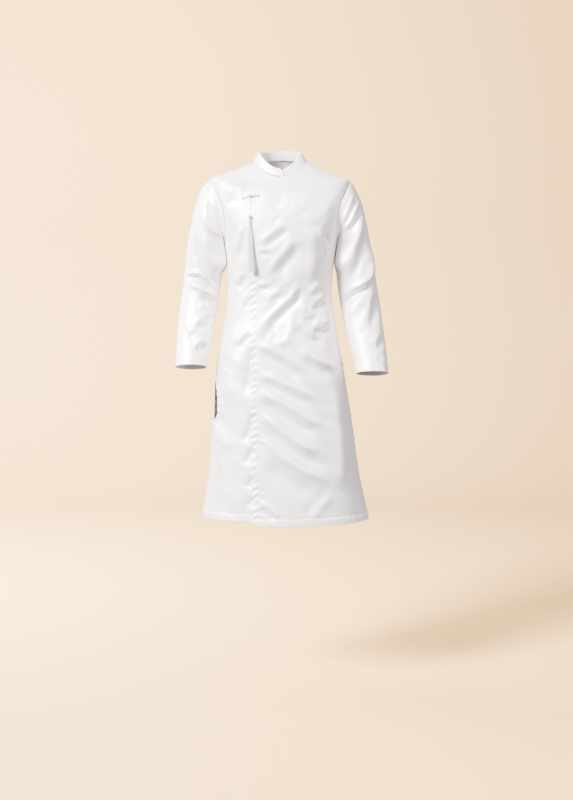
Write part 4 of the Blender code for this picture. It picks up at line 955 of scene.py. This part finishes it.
def sleeve_height(grid, normals, at, t, side, cuff_line, folds, other):
    """Height of the creases, the puckers of the armhole seam and the cuff's stitches."""
    height = stroke_height(grid, facing(normals, -1, SLEEVE_EDGE), folds)
    height = SLEEVE_GAIN * (height + stroke_height(grid, facing(normals, 1, SLEEVE_EDGE), mirror(other)))
    table = [(side * degrees, *rest) for degrees, *rest in SLEEVE_UNEVEN]
    height = height + SLEEVE_HANDLED * uneven(grid, table, side)
    height = height * sum(share * smooth(at / rings) for share, rings in FREE)[:, None]
    seam = np.linalg.norm(grid - grid[:1], axis=-1)
    cuff = np.linalg.norm(grid - cuff_line, axis=-1)
    trough, size = troughs(t * CAP_RADIUS + side, CAP_PUCKER, CAP_PUCKER_HALF)
    height = height - SEAM_DEEP * bell(seam, SEAM_HALF)
    height = height - CAP_DEEP * size * trough * np.exp(-seam / CAP_REACH) * smooth(seam / CAP_START)
    height = height - CUFF_STITCH_DEEP * bell(cuff - CUFF_DEPTH, CUFF_STITCH_HALF)
    ripple = 0.5 + 0.5 * np.sin(CUFF_RIPPLES * t + 2 * np.sin(3 * t))
    return height + CUFF_RIPPLE * ripple * smooth((CUFF_TOP - cuff) / CUFF_OVER)


print("cuff stitched", CUFF_DEPTH * 1000, "mm up")

# %% Build a sleeve
AROUND = 88               # points round a sleeve
SEAM_ROWS = (0.0, 0.06, 0.15)     # ring numbers of the rows at the armhole seam
FIRST_ROW, LAST_ROW, ROWS = 0.3, 13.94, 150
CUFF_UNDER = np.linspace(13.92, 13.4, 7)      # rows of the cuff's turning
RINGS_PER_METRE = 20.0    # at the cuff
NORMAL_STEP = 0.02        # in rings
PRESS_FROM, PRESS_OVER = 0.2, 0.6     # only the side next to the body moves: cosine of the angle


def build_sleeve(name, side, cap, arm, folds, other):
    t = np.arange(AROUND) * 2 * math.pi / AROUND
    control = sleeve_rings(side, t, cap, arm)
    last = len(control) - 1.0
    rows = np.linspace(FIRST_ROW, LAST_ROW, ROWS)
    at = np.concatenate([SEAM_ROWS, rows, last - RINGS_PER_METRE * FOLD_IN, CUFF_UNDER])
    under = np.full(len(CUFF_UNDER), UNDER)
    depth = np.concatenate([np.zeros(len(SEAM_ROWS) + ROWS), FOLD_DOWN[::-1], under])
    grid = hermite(control, at)
    along = hermite(control, at + NORMAL_STEP) - hermite(control, at - NORMAL_STEP)
    normals = unit(np.cross(np.roll(grid, -1, 1) - np.roll(grid, 1, 1), along))
    outward = np.sum((grid - grid.mean(axis=1, keepdims=True)) * normals)
    normals *= np.sign(outward)
    height = sleeve_height(grid, normals, at, t, side, hermite(control, last), folds, other)
    grid = grid + normals * (height - CLOTH / 2 - depth[:, None])[..., None]
    grid[..., 0] -= side * press(grid, side) * smooth((np.cos(t) - PRESS_FROM) / PRESS_OVER)
    thing, area = add_cloth(name, grid, closed=True)
    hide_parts(name.replace("_cloth", ""))
    return thing, area


sleeve_right, area_right = build_sleeve("sleeve_right_cloth", -1, CAP_RIGHT,
                                        ARM_RIGHT, SLEEVE_RIGHT_FOLDS, SLEEVE_LEFT_FOLDS)
sleeve_left, area_left = build_sleeve("sleeve_left_cloth", 1, CAP_LEFT,
                                      ARM_LEFT, SLEEVE_LEFT_FOLDS, SLEEVE_RIGHT_FOLDS)

# %% [markdown]
# ## Shader maths
# A material is a graph of nodes. A small class wraps one socket, so that node maths can be written as
# plain arithmetic: a + b makes an Add node. One method makes any other node. This keeps a material
# readable as a formula.

# %% A socket with operators
class Socket:
    """One output socket of a node tree."""
    tree = None

    def __init__(self, socket):
        self.socket = socket

    @classmethod
    def node(cls, kind, settings=None, **inputs):
        """Make a node of this type. Its settings are set first, then its inputs are set or linked."""
        node = cls.tree.nodes.new(kind)
        for key, value in (settings or {}).items():
            setattr(node, key, value)
        for key, value in inputs.items():
            slot = node.inputs[int(key[1:])] if key[0] == "i" and key[1:].isdigit() else node.inputs[key]
            if isinstance(value, Socket):
                cls.tree.links.new(value.socket, slot)
            else:
                slot.default_value = value
        return node

    @classmethod
    def maths(cls, operation, *values):
        inputs = {f"i{k}": value for k, value in enumerate(values)}
        return Socket(cls.node("ShaderNodeMath", {"operation": operation}, **inputs).outputs[0])

    def __add__(self, other):
        return Socket.maths("ADD", self, other)

    def __radd__(self, other):
        return Socket.maths("ADD", other, self)

    def __mul__(self, other):
        return Socket.maths("MULTIPLY", self, other)

    def __rmul__(self, other):
        return Socket.maths("MULTIPLY", other, self)

    def __truediv__(self, other):
        return Socket.maths("DIVIDE", self, other)

    def __rtruediv__(self, other):
        return Socket.maths("DIVIDE", other, self)

    def __pow__(self, other):
        return Socket.maths("POWER", self, other)

    def __rpow__(self, other):
        return Socket.maths("POWER", other, self)


def noise(scale, detail=3.0):
    where = Socket(Socket.node("ShaderNodeTexCoord").outputs["Object"])
    node = Socket.node("ShaderNodeTexNoise", {"noise_dimensions": "3D"}, Vector=where, Scale=scale,
                       Detail=detail, Roughness=0.5)
    return Socket(node.outputs[0])


def weave_uv():
    """The two coordinates of the weave's UV map."""
    weave = Socket.node("ShaderNodeUVMap", {"uv_map": "weave"})
    parts = Socket.node("ShaderNodeSeparateXYZ", None, Vector=Socket(weave.outputs[0]))
    return Socket(parts.outputs[0]), Socket(parts.outputs[1])


def mix_colour(amount, a, b):
    node = Socket.node("ShaderNodeMix", {"data_type": "RGBA"}, i0=amount, i6=a, i7=b)
    return Socket(node.outputs[2])


def new_material(name, **constants):
    """A material with a Principled shader. The constants are set on the shader's own sockets."""
    material = bpy.data.materials.new(name)
    material.use_nodes = True
    Socket.tree = material.node_tree
    shader = next(n for n in material.node_tree.nodes if n.type == "BSDF_PRINCIPLED")
    for key, value in constants.items():
        shader.inputs[key.replace("_", " ")].default_value = value
    return material, shader


def feed(shader, key, value):
    Socket.tree.links.new(value.socket, shader.inputs[key])


def feed_bump(shader, strength, distance, height):
    bump = Socket.node("ShaderNodeBump", None, Strength=strength, Distance=distance, Height=height)
    feed(shader, "Normal", Socket(bump.outputs[0]))


print("operators of a socket: +  *  /  **")

# %% [markdown]
# ## Satin
# Satin is woven so that long threads float on its face, which gives a soft broad shine rather than a
# mirror. The face is nearly white and very slightly warm. Roughness varies a little with the hand of
# the cloth, and a fine bump along the weave catches the light in close views only.

# %% Satin material
SATIN_LIGHT = (0.90, 0.838, 0.834, 1.0)
SATIN_SHADE = 0.965       # the darker patches of the cloth have this much of the colour
CLOUD_SCALE, HAND_SCALE, SLUB_SCALE = 7.0, 31.0, 900.0
ROUGH, ROUGH_SPREAD = 0.48, 0.06
WEFT, WARP = 15000.0, 3900.0      # threads across and along, in radians per metre
THREAD_STRENGTH, THREAD_DEPTH = 0.12, 0.0001


def satin_material():
    material, shader = new_material("satin", Metallic=0.38, Sheen_Weight=0.08, Specular_IOR_Level=0.6)
    darker = tuple(SATIN_SHADE * v for v in SATIN_LIGHT[:3]) + (1.0,)
    feed(shader, "Base Color", mix_colour(noise(CLOUD_SCALE, 4.0), SATIN_LIGHT, darker))
    feed(shader, "Roughness", ROUGH + ROUGH_SPREAD * noise(HAND_SCALE))
    along, across = weave_uv()
    threads = Socket.maths("SINE", across * WEFT) * 0.5 + Socket.maths("SINE", along * WARP) * 0.25
    feed_bump(shader, THREAD_STRENGTH, THREAD_DEPTH, threads + noise(SLUB_SCALE, 2.0))
    return material


satin = satin_material()
panels = (front_left, front_right, back, sleeve_left, sleeve_right)
for thing in panels:
    thing.data.materials.append(satin)
print("satin on", len(panels), "pieces")

# %% [markdown]
# ## Thread and cord finishes, with painted shade
# The trim is silk too, but its threads are twisted, so it looks duller than the satin, and the cord's grey
# is painted shade. Twisted cord shows slanting ridges, with painted shade in the grooves between them.
# They are drawn here with a wave on the cord's own UV map, which costs no triangles, and the cord keeps
# a plain round mesh.

# %% Finishes and painted shade of the trim
FIBRE_SCALE, FIBRE_COLOUR, FIBRE_HEIGHT = 2500.0, 0.2, 0.3    # their share of the colour and the bump
RIDGE_POWER, RIDGE_STRENGTH = 0.7, 0.7
# name: colour of the crests, painted shade between them, length of a turn, depth of the ridges, roughness
TRIM_FINISH_AND_SHADE = {
    # painted shade: the cord's colours are darkened to grey
    "twisted_cord": ((0.60, 0.57, 0.56, 1.0), (0.22, 0.20, 0.19, 1.0), 0.0022, 0.00025, 0.45),
    "wound_thread": ((0.80, 0.78, 0.76, 1.0), (0.40, 0.38, 0.36, 1.0), 0.0007, 0.00012, 0.45),
    "silk_floss": ((0.86, 0.85, 0.83, 1.0), (0.70, 0.68, 0.66, 1.0), 0.009, 0.0001, 0.38),
}


def twisted_material(name, light, painted_groove_shade, turn, depth, roughness):
    """Cord with slanting ridges and painted shade between them: u runs along it in metres, v goes once round
    it.
    """
    material, shader = new_material(name, Sheen_Weight=0.15, Roughness=roughness)
    along, across = weave_uv()
    ridge = Socket.maths("SINE", (along / turn + across) * 2 * math.pi) * 0.5 + 0.5
    fibres = noise(FIBRE_SCALE, 2.0)
    groove_shade_and_fibres = ridge ** RIDGE_POWER * (1.0 - FIBRE_COLOUR) + fibres * FIBRE_COLOUR
    # painted shade: the grooves between the ridges get the darker colour, mixed with a random tone of the
    # fibres
    feed(shader, "Base Color", mix_colour(groove_shade_and_fibres, painted_groove_shade, light))
    feed_bump(shader, RIDGE_STRENGTH, depth, ridge + fibres * FIBRE_HEIGHT)
    return material


cord_material, wrap_material, floss_material = (
    twisted_material(name, *finish_and_shade) for name, finish_and_shade in TRIM_FINISH_AND_SHADE.items())
print("ridges of the cord every", TRIM_FINISH_AND_SHADE["twisted_cord"][2] * 1000, "mm")

# %% [markdown]
# ## Collar
# A stand collar is two layers of satin over stiff interlining, so it is thick, smooth and round at its
# top edge, and its front corners are rounded. It could be a thick strip bent by a curve, but its lean
# changes all the way round, so it is swept along the neckline as one closed section: up the outside,
# over a round top and down the inside. The seam at its foot is drawn in a little.

# %% Sizes of the collar
COLLAR_WALL = 0.0032
COLLAR_LIFT = 0.0008
COLLAR_HEIGHT, COLLAR_FRONT_CUT, COLLAR_BACK_CUT = 0.0285, 0.006, 0.003
COLLAR_LEAN, COLLAR_SKEW, COLLAR_LEAN_CUT, COLLAR_BULGE = 0.0168, 0.022, 0.009, 0.0008
SLIT_X, SLIT_HALF = 0.0067, 0.0011
CORNER = 0.011            # radius of the front corners
CORNER_POINTS, RUN_POINTS = 14, 250
SHOULDER_V, TOP_ROUND = 0.93, 0.045   # share of the height where the round top starts, and its height
SECTION_START, SECTION_END = 0.01, -0.10      # share of the height where the section starts and ends
OUTER_POINTS, INNER_POINTS = 18, 12
CORNER_GAIN = 1.2         # the corner is cut from the top down to nothing at the foot
FOOT_PULL, FOOT_REACH, FOOT_SHARE = 0.0006, 0.10, 0.6     # the seam at the foot is drawn in this much
RIPPLE, RIPPLE_RATES = 0.0004, (95, 1.3, 31)      # faint unevenness of the band
STITCH_RATES = (420, 2, 57)
LEAST_HALF, CORNER_KEEP = 0.02, 0.995     # keep the ends from closing to a point


def neck_lengths(row, whole):
    """Lengths along the neckline, close together round the two front corners."""
    start, end = row.at_x(SLIT_X + SLIT_HALF), row.at_x(SLIT_X - SLIT_HALF) + whole
    near = CORNER * (1 - np.cos(np.linspace(0, math.pi / 2, CORNER_POINTS)))
    run = np.linspace(start + CORNER, end - CORNER, RUN_POINTS)[1:-1]
    lengths = np.concatenate([start + near, run, end - near[::-1]])
    return lengths, np.minimum(lengths - start, end - lengths)


def collar_section():
    """Height share and side of each point of the section: out is -1 and in is 1."""
    outside = [(v, -1.0) for v in np.linspace(SECTION_START, SHOULDER_V, OUTER_POINTS)]
    top = [(1.0 + TOP_ROUND * (math.sin(a) - 1), -math.cos(a)) for a in np.radians(range(20, 180, 20))]
    return outside + top + [(v, 1.0) for v in np.linspace(SHOULDER_V, SECTION_END, INNER_POINTS)]


def uneven_wave(lengths, rates):
    fast, much, slow = rates
    return np.sin(lengths * fast + much * np.sin(lengths * slow))


print(len(collar_section()), "points round the collar's section")

# %% Build the collar
def weld(thing):
    """Joins the seam of a tube, closes its ends and turns all faces out. UVs stay on the corners."""
    mesh = bmesh.new()
    mesh.from_mesh(thing.data)
    bmesh.ops.remove_doubles(mesh, verts=mesh.verts, dist=1e-7)
    bmesh.ops.holes_fill(mesh, edges=[e for e in mesh.edges if e.is_boundary], sides=0)
    bmesh.ops.recalc_face_normals(mesh, faces=mesh.faces)
    mesh.to_mesh(thing.data)
    mesh.free()


def build_collar():
    row = BodyRow(NECK_RING)
    whole = row.length_at(math.radians(270)) - row.length_at(math.radians(-90))
    lengths, from_end = neck_lengths(row, whole)
    wrapped = np.where(lengths > row.length[-1] - 0.001, lengths - whole, lengths)
    base = np.stack([np.interp(wrapped, row.length, row.points[:, k]) for k in range(3)], axis=-1)
    base[:, 2] += COLLAR_LIFT
    forward = np.cos(row.turns_at(wrapped))
    height = COLLAR_HEIGHT - np.where(forward > 0, COLLAR_FRONT_CUT, COLLAR_BACK_CUT) * forward ** 2
    lean = COLLAR_LEAN + COLLAR_SKEW * base[:, 0] - COLLAR_LEAN_CUT * forward ** 2
    cut = np.clip(CORNER - from_end, 0.0, CORNER)
    drop = CORNER - np.sqrt(CORNER ** 2 - cut ** 2 * CORNER_KEEP)
    inward = unit(-base * (1.0, 1.0, 0.0))
    full = COLLAR_WALL / 2
    half = full * np.sqrt(np.clip(1 - (1 - np.clip(from_end / full, 0, 1)) ** 2, LEAST_HALF, 1))
    loops = []
    for v, side in collar_section():
        part = v * (1.0 - drop * smooth(v * CORNER_GAIN) / height)
        middle = math.sin(math.pi * min(v, 1.0))
        stitches = FOOT_SHARE + (1.0 - FOOT_SHARE) * uneven_wave(lengths, STITCH_RATES)
        pull = FOOT_PULL * bell(v, FOOT_REACH) * stitches
        wave = RIPPLE * uneven_wave(lengths, RIPPLE_RATES) * middle
        shift = lean * part + half * (1 + side) - (full - half) + COLLAR_BULGE * middle * side
        shift = shift + pull * (side < 0) - wave
        loops.append(base + inward * shift[:, None] + (height * part)[:, None] * np.array([0.0, 0.0, 1.0]))
    grid = np.array(loops).transpose(1, 0, 2)
    faces = grid_faces(*grid.shape[:2], closed=True)
    uv = grid_uv(grid_travel(grid, 0), grid_travel(grid, 1))
    thing = add_mesh("collar_shell", grid.reshape(-1, 3), faces, uv)
    weld(thing)
    return thing


collar = build_collar()
collar.data.materials.append(satin)
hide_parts("collar")
print("collar:", len(collar.data.polygons), "faces, height at the side", COLLAR_HEIGHT)

# %% [markdown]
# ## Frog fastener
# A frog is a button knot tied of the same cord as its two loops. The knot here is a Turk's head: one
# line that goes three times round a ball and weaves over and under itself. A formula gives that line, and
# a round tube follows it. The loops are stitched flat on the cloth, so they follow the body.

# %% Cord along a line
DOWN = np.array([0.0, 0.0, -1.0])
FRONT_RINGS = np.linspace(5.0, NECK_RING, 1601)


def front_place(x, z):
    """Point and normal on the front of the body, above the hips, at this x and z."""
    rings = FRONT_RINGS
    _, _, _, half, mid, _, _, power = np.moveaxis(hermite(RINGS, rings), -1, 0)
    across = np.clip((x - mid) / half, -1.0, 1.0)
    turn = np.arcsin(np.sign(across) * np.abs(across) ** (1.0 / power))
    heights = body_point(turn, rings)[:, 2]
    ring, turn = np.interp(z, heights, rings), np.interp(z, heights, turn)
    return body_point(turn, ring), body_normal(turn, ring)


def add_round(name, grid, lengths, material):
    """A closed round piece from rings of points: u along it in metres, v once round it."""
    rows, columns = grid.shape[:2]
    uv = grid_uv(lengths, np.linspace(0, 1, columns))
    thing = add_mesh(name, grid.reshape(-1, 3), grid_faces(rows, columns), uv)
    weld(thing)
    thing.data.materials.append(material)
    return thing


def add_cord(name, path, radius, material, sides, closed=False, out=(0.0, -1.0, 0.0)):
    """Round cord along a list of points. The radius is one number, or one for each point."""
    path = np.asarray(path, float)
    if closed:
        path = np.concatenate([path, path[:1]])
    along = np.gradient(path, axis=0)
    if closed:
        along[0] = along[-1] = path[1] - path[-2]
    along = unit(along)
    first = unit(np.cross(along, np.asarray(out, float)))
    second = np.cross(along, first)
    angles = np.linspace(0, 2 * math.pi, sides + 1)[None, :, None]
    ring = np.cos(angles) * first[:, None] + np.sin(angles) * second[:, None]
    size = radius * np.ones(len(path))
    return add_round(name, path[:, None] + size[:, None, None] * ring, travel(path), material)


def add_ball(name, centre, radii, material, rows=24, sides=32):
    """Ball with u from top to bottom and v round it."""
    down, turn = np.linspace(0.001, math.pi - 0.001, rows), np.linspace(0, 2 * math.pi, sides + 1)
    grid = np.stack([np.outer(np.sin(down), np.cos(turn)), np.outer(np.sin(down), np.sin(turn)),
                     np.outer(np.cos(down), np.ones(sides + 1))], axis=-1)
    return add_round(name, grid * np.asarray(radii) + centre, down * radii[2], material)


KNOT_AT = (-0.0876, -0.1062)      # x, z
print("the knot's place on the cloth:", front_place(*KNOT_AT)[0].round(4))

# %% Button knot
KNOT_RADII = np.array([0.0053, 0.0046, 0.0047])
KNOT_STANDS = 0.0053
KNOT_OUT = (0.31, 0.11, 0.94)     # no stretch of the knot runs this way, so its tube never twists
CORD_RADIUS = 0.0011
BIGHTS, LEADS, KNOT_REACH = 5, 3, 1.05    # the line swings this far up and down, in radians
OVER_UNDER, OVER_START = 0.10, 0.4    # it passes over and under itself by this share of the radius
KNOT_POINTS, SINK = 240, 0.9      # the line lies this many cord radii inside the ball
CORE_SHARE = 0.72         # a smaller ball fills the middle


def knot_line(centre):
    """Turk's head of three leads and five bights on a small ball, seen end on."""
    u = np.linspace(0, 2 * math.pi, KNOT_POINTS, endpoint=False)
    high = KNOT_REACH * np.cos(BIGHTS * u)
    far = 1.0 + OVER_UNDER * np.sin(2 * BIGHTS * u + OVER_START)
    ball = np.stack([np.cos(high) * np.cos(LEADS * u), np.sin(high), np.cos(high) * np.sin(LEADS * u)],
                    axis=-1)
    return centre + ball * far[:, None] * (KNOT_RADII - CORD_RADIUS * SINK)


knot_place, knot_normal = front_place(*KNOT_AT)
knot_centre = knot_place + knot_normal * KNOT_STANDS
knot = add_cord("frog_button", knot_line(knot_centre), CORD_RADIUS, cord_material, 10,
                True, KNOT_OUT)
add_ball("frog_core", knot_centre, KNOT_RADII * CORE_SHARE, cord_material)
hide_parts("frog_knot")
print("knot of", len(knot.data.polygons), "faces")

# %% Loops of the frog
WING_LENGTH, WING_HALF, WING_START = 0.026, 0.0022, 0.0069
WING_LIFT = 0.0006        # the loops lie this far off the cloth
WING_RISE, WING_RISE_OVER = 0.0026, 0.007     # and they rise to the knot
WING_WAVES = 1.6
STEP_BEFORE, STEP_ACROSS = 0.002, 0.009   # the right loop steps down to the right front here
# name, side, drop to its tip, shift across, height of its wave
WINGS = (("frog_wing_right", -1, -0.0095, 0.0013, 0.0), ("frog_wing_left", 1, 0.0025, 0.0, 0.0013))


def loop_outline():
    """A long narrow loop: along and across, from its root out to its tip and back."""
    far = WING_LENGTH - WING_START - WING_HALF
    straight = [(WING_HALF + (far - WING_HALF) * t, WING_HALF) for t in np.linspace(0, 1, 26)]

    def bend(centre, start, end):
        return [(centre + WING_HALF * math.cos(a), WING_HALF * math.sin(a))
                for a in np.radians(range(start, end, -15))]

    back_again = [(x, -y) for x, y in reversed(straight)]
    return straight + bend(far, 75, -90) + back_again + bend(WING_HALF, 255, 104)


def build_wing(name, side, drop, shift, wave):
    path = []
    for along, across in loop_outline():
        x = KNOT_AT[0] + side * (WING_START + along) + shift
        part = along / WING_LENGTH
        z = KNOT_AT[1] + drop * part + across + wave * math.sin(part * WING_WAVES * 2 * math.pi)
        place, out = front_place(x, z)
        under = smooth((edge_x(TIP_RING) - STEP_BEFORE - x) / STEP_ACROSS) if side < 0 else 0.0
        rise = WING_RISE * (1.0 - smooth(along / WING_RISE_OVER))
        path.append(place + out * (CORD_RADIUS + WING_LIFT + rise - UNDER_STEP * under))
    wing = add_cord(name + "_cord", path, CORD_RADIUS, cord_material, 12, True)
    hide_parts(name)
    return wing


wings = [build_wing(*row) for row in WINGS]
print("loops of", [len(wing.data.polygons) for wing in wings], "faces")

# %% [markdown]
# ## Cord, bead and tassel
# A thin cord hangs from the knot and carries a bead wound with thread and a long tassel. The bead's
# windings are a fine wave on a ball. The tassel is a bound head and many strands that start together
# and fan out. Each strand is a thin tapering tube with its own bend, from a seeded random generator, so
# the tassel is the same each time that the script runs.

# %% Hanging cord and bead
BEAD_AT = (-0.0905, -0.1652)      # x, z
BEAD_RADII = (0.0062, 0.0058, 0.0060)
BEAD_STANDS = 0.0063
HANG_GAP = 0.0003
HANG_FROM = np.array([-0.0008, 0.0002, -0.0001])      # from the foot of the knot
CORD_CLEAR = 0.0013       # between the middle of the cord and the form of the body
TASSEL_CORD_RADIUS = 0.0008
ROUTE_POINTS, LINE_POINTS = 14, 90


def build_drop():
    place, _ = front_place(*BEAD_AT)
    bead_centre = place - (0.0, BEAD_STANDS, 0.0)
    hang = BEAD_RADII[2] + HANG_GAP
    top = knot_centre + HANG_FROM + DOWN * (KNOT_RADII[2] + HANG_GAP)
    path = []
    for t in np.linspace(0.0, 1.0, ROUTE_POINTS):
        spot = top + (bead_centre - DOWN * hang - top) * t
        place, _ = front_place(spot[0], spot[2])
        spot[1] = min(spot[1], place[1] - CORD_CLEAR)
        path.append(spot)
    line = hermite(path, np.linspace(0, ROUTE_POINTS - 1, LINE_POINTS))
    cord = add_cord("tassel_cord_twist", line, TASSEL_CORD_RADIUS, cord_material, 12)
    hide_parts("tassel_cord")
    ball = add_ball("tassel_bead_wound", bead_centre, BEAD_RADII, wrap_material, 40, 48)
    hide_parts("tassel_bead")
    return cord, ball, line, bead_centre + DOWN * hang


hanging_cord, bead, cord_line, tassel_top = build_drop()

# %% Head of the tassel
# depth below the top and radius
HEAD = np.array([(0.0, 0.0010), (0.0012, 0.0024), (0.0030, 0.0036), (0.0055, 0.0041), (0.0070, 0.0034),
                 (0.0078, 0.0033), (0.0090, 0.0038), (0.0105, 0.0041), (0.0130, 0.0040)])


def build_head(top):
    depth = np.linspace(0, HEAD[-1, 0], 40)
    radii = np.interp(depth, HEAD[:, 0], HEAD[:, 1])
    add_cord("tassel_head", top + depth[:, None] * DOWN, radii, wrap_material, 40)


build_head(tassel_top)
print("head", HEAD[-1, 0] * 1000, "mm long")

# %% Strands of the tassel
TASSEL_LENGTH = 0.155
TASSEL_STRANDS = 190
STRAND_FROM = 0.010       # the strands start this far down, inside the head
STRAND_SIDES, STRAND_STEPS = 4, 18
ROOT_RADIUS = 0.0037
GOLDEN_ANGLE = 2.39996    # spreads the roots evenly over the round head
TASSEL_DRIFT = (0.0058, 0.0004)       # it hangs a little to the wearer's left and towards the cloth
SPREAD, SPREAD_POWER, FLAT = 1.8, 0.8, 0.2    # how far it fans out, and how much of that from front to back
LENGTH_SPREAD, INNER_SHORTER = 0.0030, 0.003
BEND, BEND_WAVES, BEND_DEPTH, ANGLE_SPREAD = 0.0011, 1.1, 0.3, 0.1
STRAND_RADII, STRAND_TAPER = (0.00028, 0.00042), 0.45
UV_STEP = 0.37            # moves each strand to its own part of the thread pattern


def strand(k, chance):
    """Points of one strand from its root, and its lengths. Its bend and thickness are drawn by chance."""
    share = math.sqrt((k + 0.5) / TASSEL_STRANDS)
    angle = k * GOLDEN_ANGLE + chance.normal(0, ANGLE_SPREAD)
    x, y = math.cos(angle) * share * ROOT_RADIUS, math.sin(angle) * share * ROOT_RADIUS
    length = TASSEL_LENGTH - STRAND_FROM - abs(chance.normal(0, LENGTH_SPREAD))
    length -= INNER_SHORTER * (1 - share)
    bend, phase = chance.normal(0, BEND), chance.uniform(0, 2 * math.pi)
    radius = chance.uniform(*STRAND_RADII)
    t = np.linspace(0, 1, STRAND_STEPS)
    spread = 1.0 + SPREAD * t ** SPREAD_POWER
    free = smooth(t * 4)
    path_x = x * spread + TASSEL_DRIFT[0] * t + bend * np.sin(BEND_WAVES * 2 * math.pi * t + phase) * free
    path_y = y * (1.0 - FLAT + FLAT * spread) + TASSEL_DRIFT[1] * smooth(3 * t)
    path_y = path_y - abs(bend) * BEND_DEPTH * free
    path = np.stack([path_x, path_y, -STRAND_FROM - length * t], axis=-1)
    a = np.arange(STRAND_SIDES) * 2 * math.pi / STRAND_SIDES + phase
    ring = np.stack([np.cos(a), np.sin(a), np.zeros(STRAND_SIDES)], axis=-1)
    size = radius * (1.0 - STRAND_TAPER * t)
    return path[:, None] + size[:, None, None] * ring, t * length


def build_strands(top):
    chance = np.random.default_rng(4)
    points, uvs, faces = [], [], []
    for k in range(TASSEL_STRANDS):
        grid, lengths = strand(k, chance)
        faces.append(grid_faces(STRAND_STEPS, STRAND_SIDES, closed=True) + k * STRAND_STEPS * STRAND_SIDES)
        points.append(top + grid.reshape(-1, 3))
        uvs.append(grid_uv(lengths, np.arange(STRAND_SIDES) / STRAND_SIDES + k * UV_STEP))
    thing = add_mesh("tassel_strands", np.concatenate(points), np.concatenate(faces), np.concatenate(uvs))
    thing.data.materials.append(floss_material)
    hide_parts("tassel")
    return thing


strands = build_strands(tassel_top)
print("tassel of", TASSEL_STRANDS, "strands,", len(strands.data.polygons), "faces")

# %% [markdown]
# ## Floor, backdrop and light
# A pale warm floor runs up into a backdrop, so there is no line behind the tunic. One large soft light
# from the viewer's left models the folds, and the far side falls into a warm shade. A weak fill from the
# right keeps that shade open, a third light brightens the backdrop, and the world gives a little even
# light. The stage lights nothing by itself, because its colour would tint the white cloth.

# %% Stage
FLOOR_Z = -1.584
FLOOR_FRONT, FLOOR_BACK, BACKDROP_TOP, FLOOR_HALF = -7.0, 3.2, 6.0, 9.0
SWEEP = 1.6               # radius between floor and backdrop
STAGE_LIGHT, STAGE_DARK = (0.80, 0.485, 0.175, 1), (0.77, 0.46, 0.165, 1)
STAGE_CLOUD = 0.6         # scale of its faint patches


def stage_sheet():
    """Floor and backdrop in one sheet with a round corner."""
    profile = [(FLOOR_FRONT, 0.0), (FLOOR_BACK, 0.0)]
    profile += [(FLOOR_BACK + SWEEP * math.sin(a), SWEEP - SWEEP * math.cos(a))
                for a in np.radians(range(6, 91, 6))]
    profile += [(FLOOR_BACK + SWEEP, BACKDROP_TOP)]
    points = [(x, y, FLOOR_Z + z) for y, z in profile for x in (-FLOOR_HALF, FLOOR_HALF)]
    faces = [(2 * i, 2 * i + 1, 2 * i + 3, 2 * i + 2) for i in range(len(profile) - 1)]
    mesh = bpy.data.meshes.new("stage")
    mesh.from_pydata(points, [], faces)
    mesh.polygons.foreach_set("use_smooth", [True] * len(faces))
    thing = bpy.data.objects.new("stage", mesh)
    bpy.context.scene.collection.objects.link(thing)
    thing.visible_diffuse = False        # a real studio keeps the colour of its walls off white cloth
    thing.visible_glossy = False
    material, shader = new_material("stage", Roughness=0.9, Specular_IOR_Level=0.1)
    feed(shader, "Base Color", mix_colour(noise(STAGE_CLOUD), STAGE_LIGHT, STAGE_DARK))
    mesh.materials.append(material)


stage_sheet()
print("floor at", FLOOR_Z)

# %% Lights
CHEST_AT = (0.0, 0.0, -0.5)
# name, place, what it looks at, size, watts, colour
LIGHTS = (
    ("key", (-2.7, -2.7, 2.1), CHEST_AT, (1.2, 1.6), 2000.0, (1.0, 0.985, 0.97)),
    ("fill", (3.1, -2.7, 0.9), CHEST_AT, (2.4, 2.4), 210.0, (1.0, 0.98, 0.96)),
    ("backdrop", (-2.2, 1.0, 0.8), (-0.7, 4.6, -0.9), (2.4, 2.4), 950.0, (1.0, 0.96, 0.9)),
)
WORLD_COLOUR, WORLD_STRENGTH = (1.0, 0.99, 0.98, 1.0), 0.42


def area_light(name, at, look, size, power, colour):
    light = bpy.data.lights.new(name, "AREA")
    light.shape = "RECTANGLE"
    light.size, light.size_y = size
    light.energy = power
    light.color = colour
    thing = bpy.data.objects.new(name, light)
    thing.location = at
    direction = mathutils.Vector(look) - mathutils.Vector(at)
    thing.rotation_euler = direction.to_track_quat("-Z", "Y").to_euler()
    bpy.context.scene.collection.objects.link(thing)


def make_world():
    world = bpy.data.worlds.new("room")
    world.use_nodes = True
    background = next(n for n in world.node_tree.nodes if n.type == "BACKGROUND")
    background.inputs["Color"].default_value = WORLD_COLOUR
    background.inputs["Strength"].default_value = WORLD_STRENGTH
    bpy.context.scene.world = world


for row in LIGHTS:
    area_light(*row)
make_world()
print(len(LIGHTS), "lights,", sum(row[4] for row in LIGHTS), "watts")
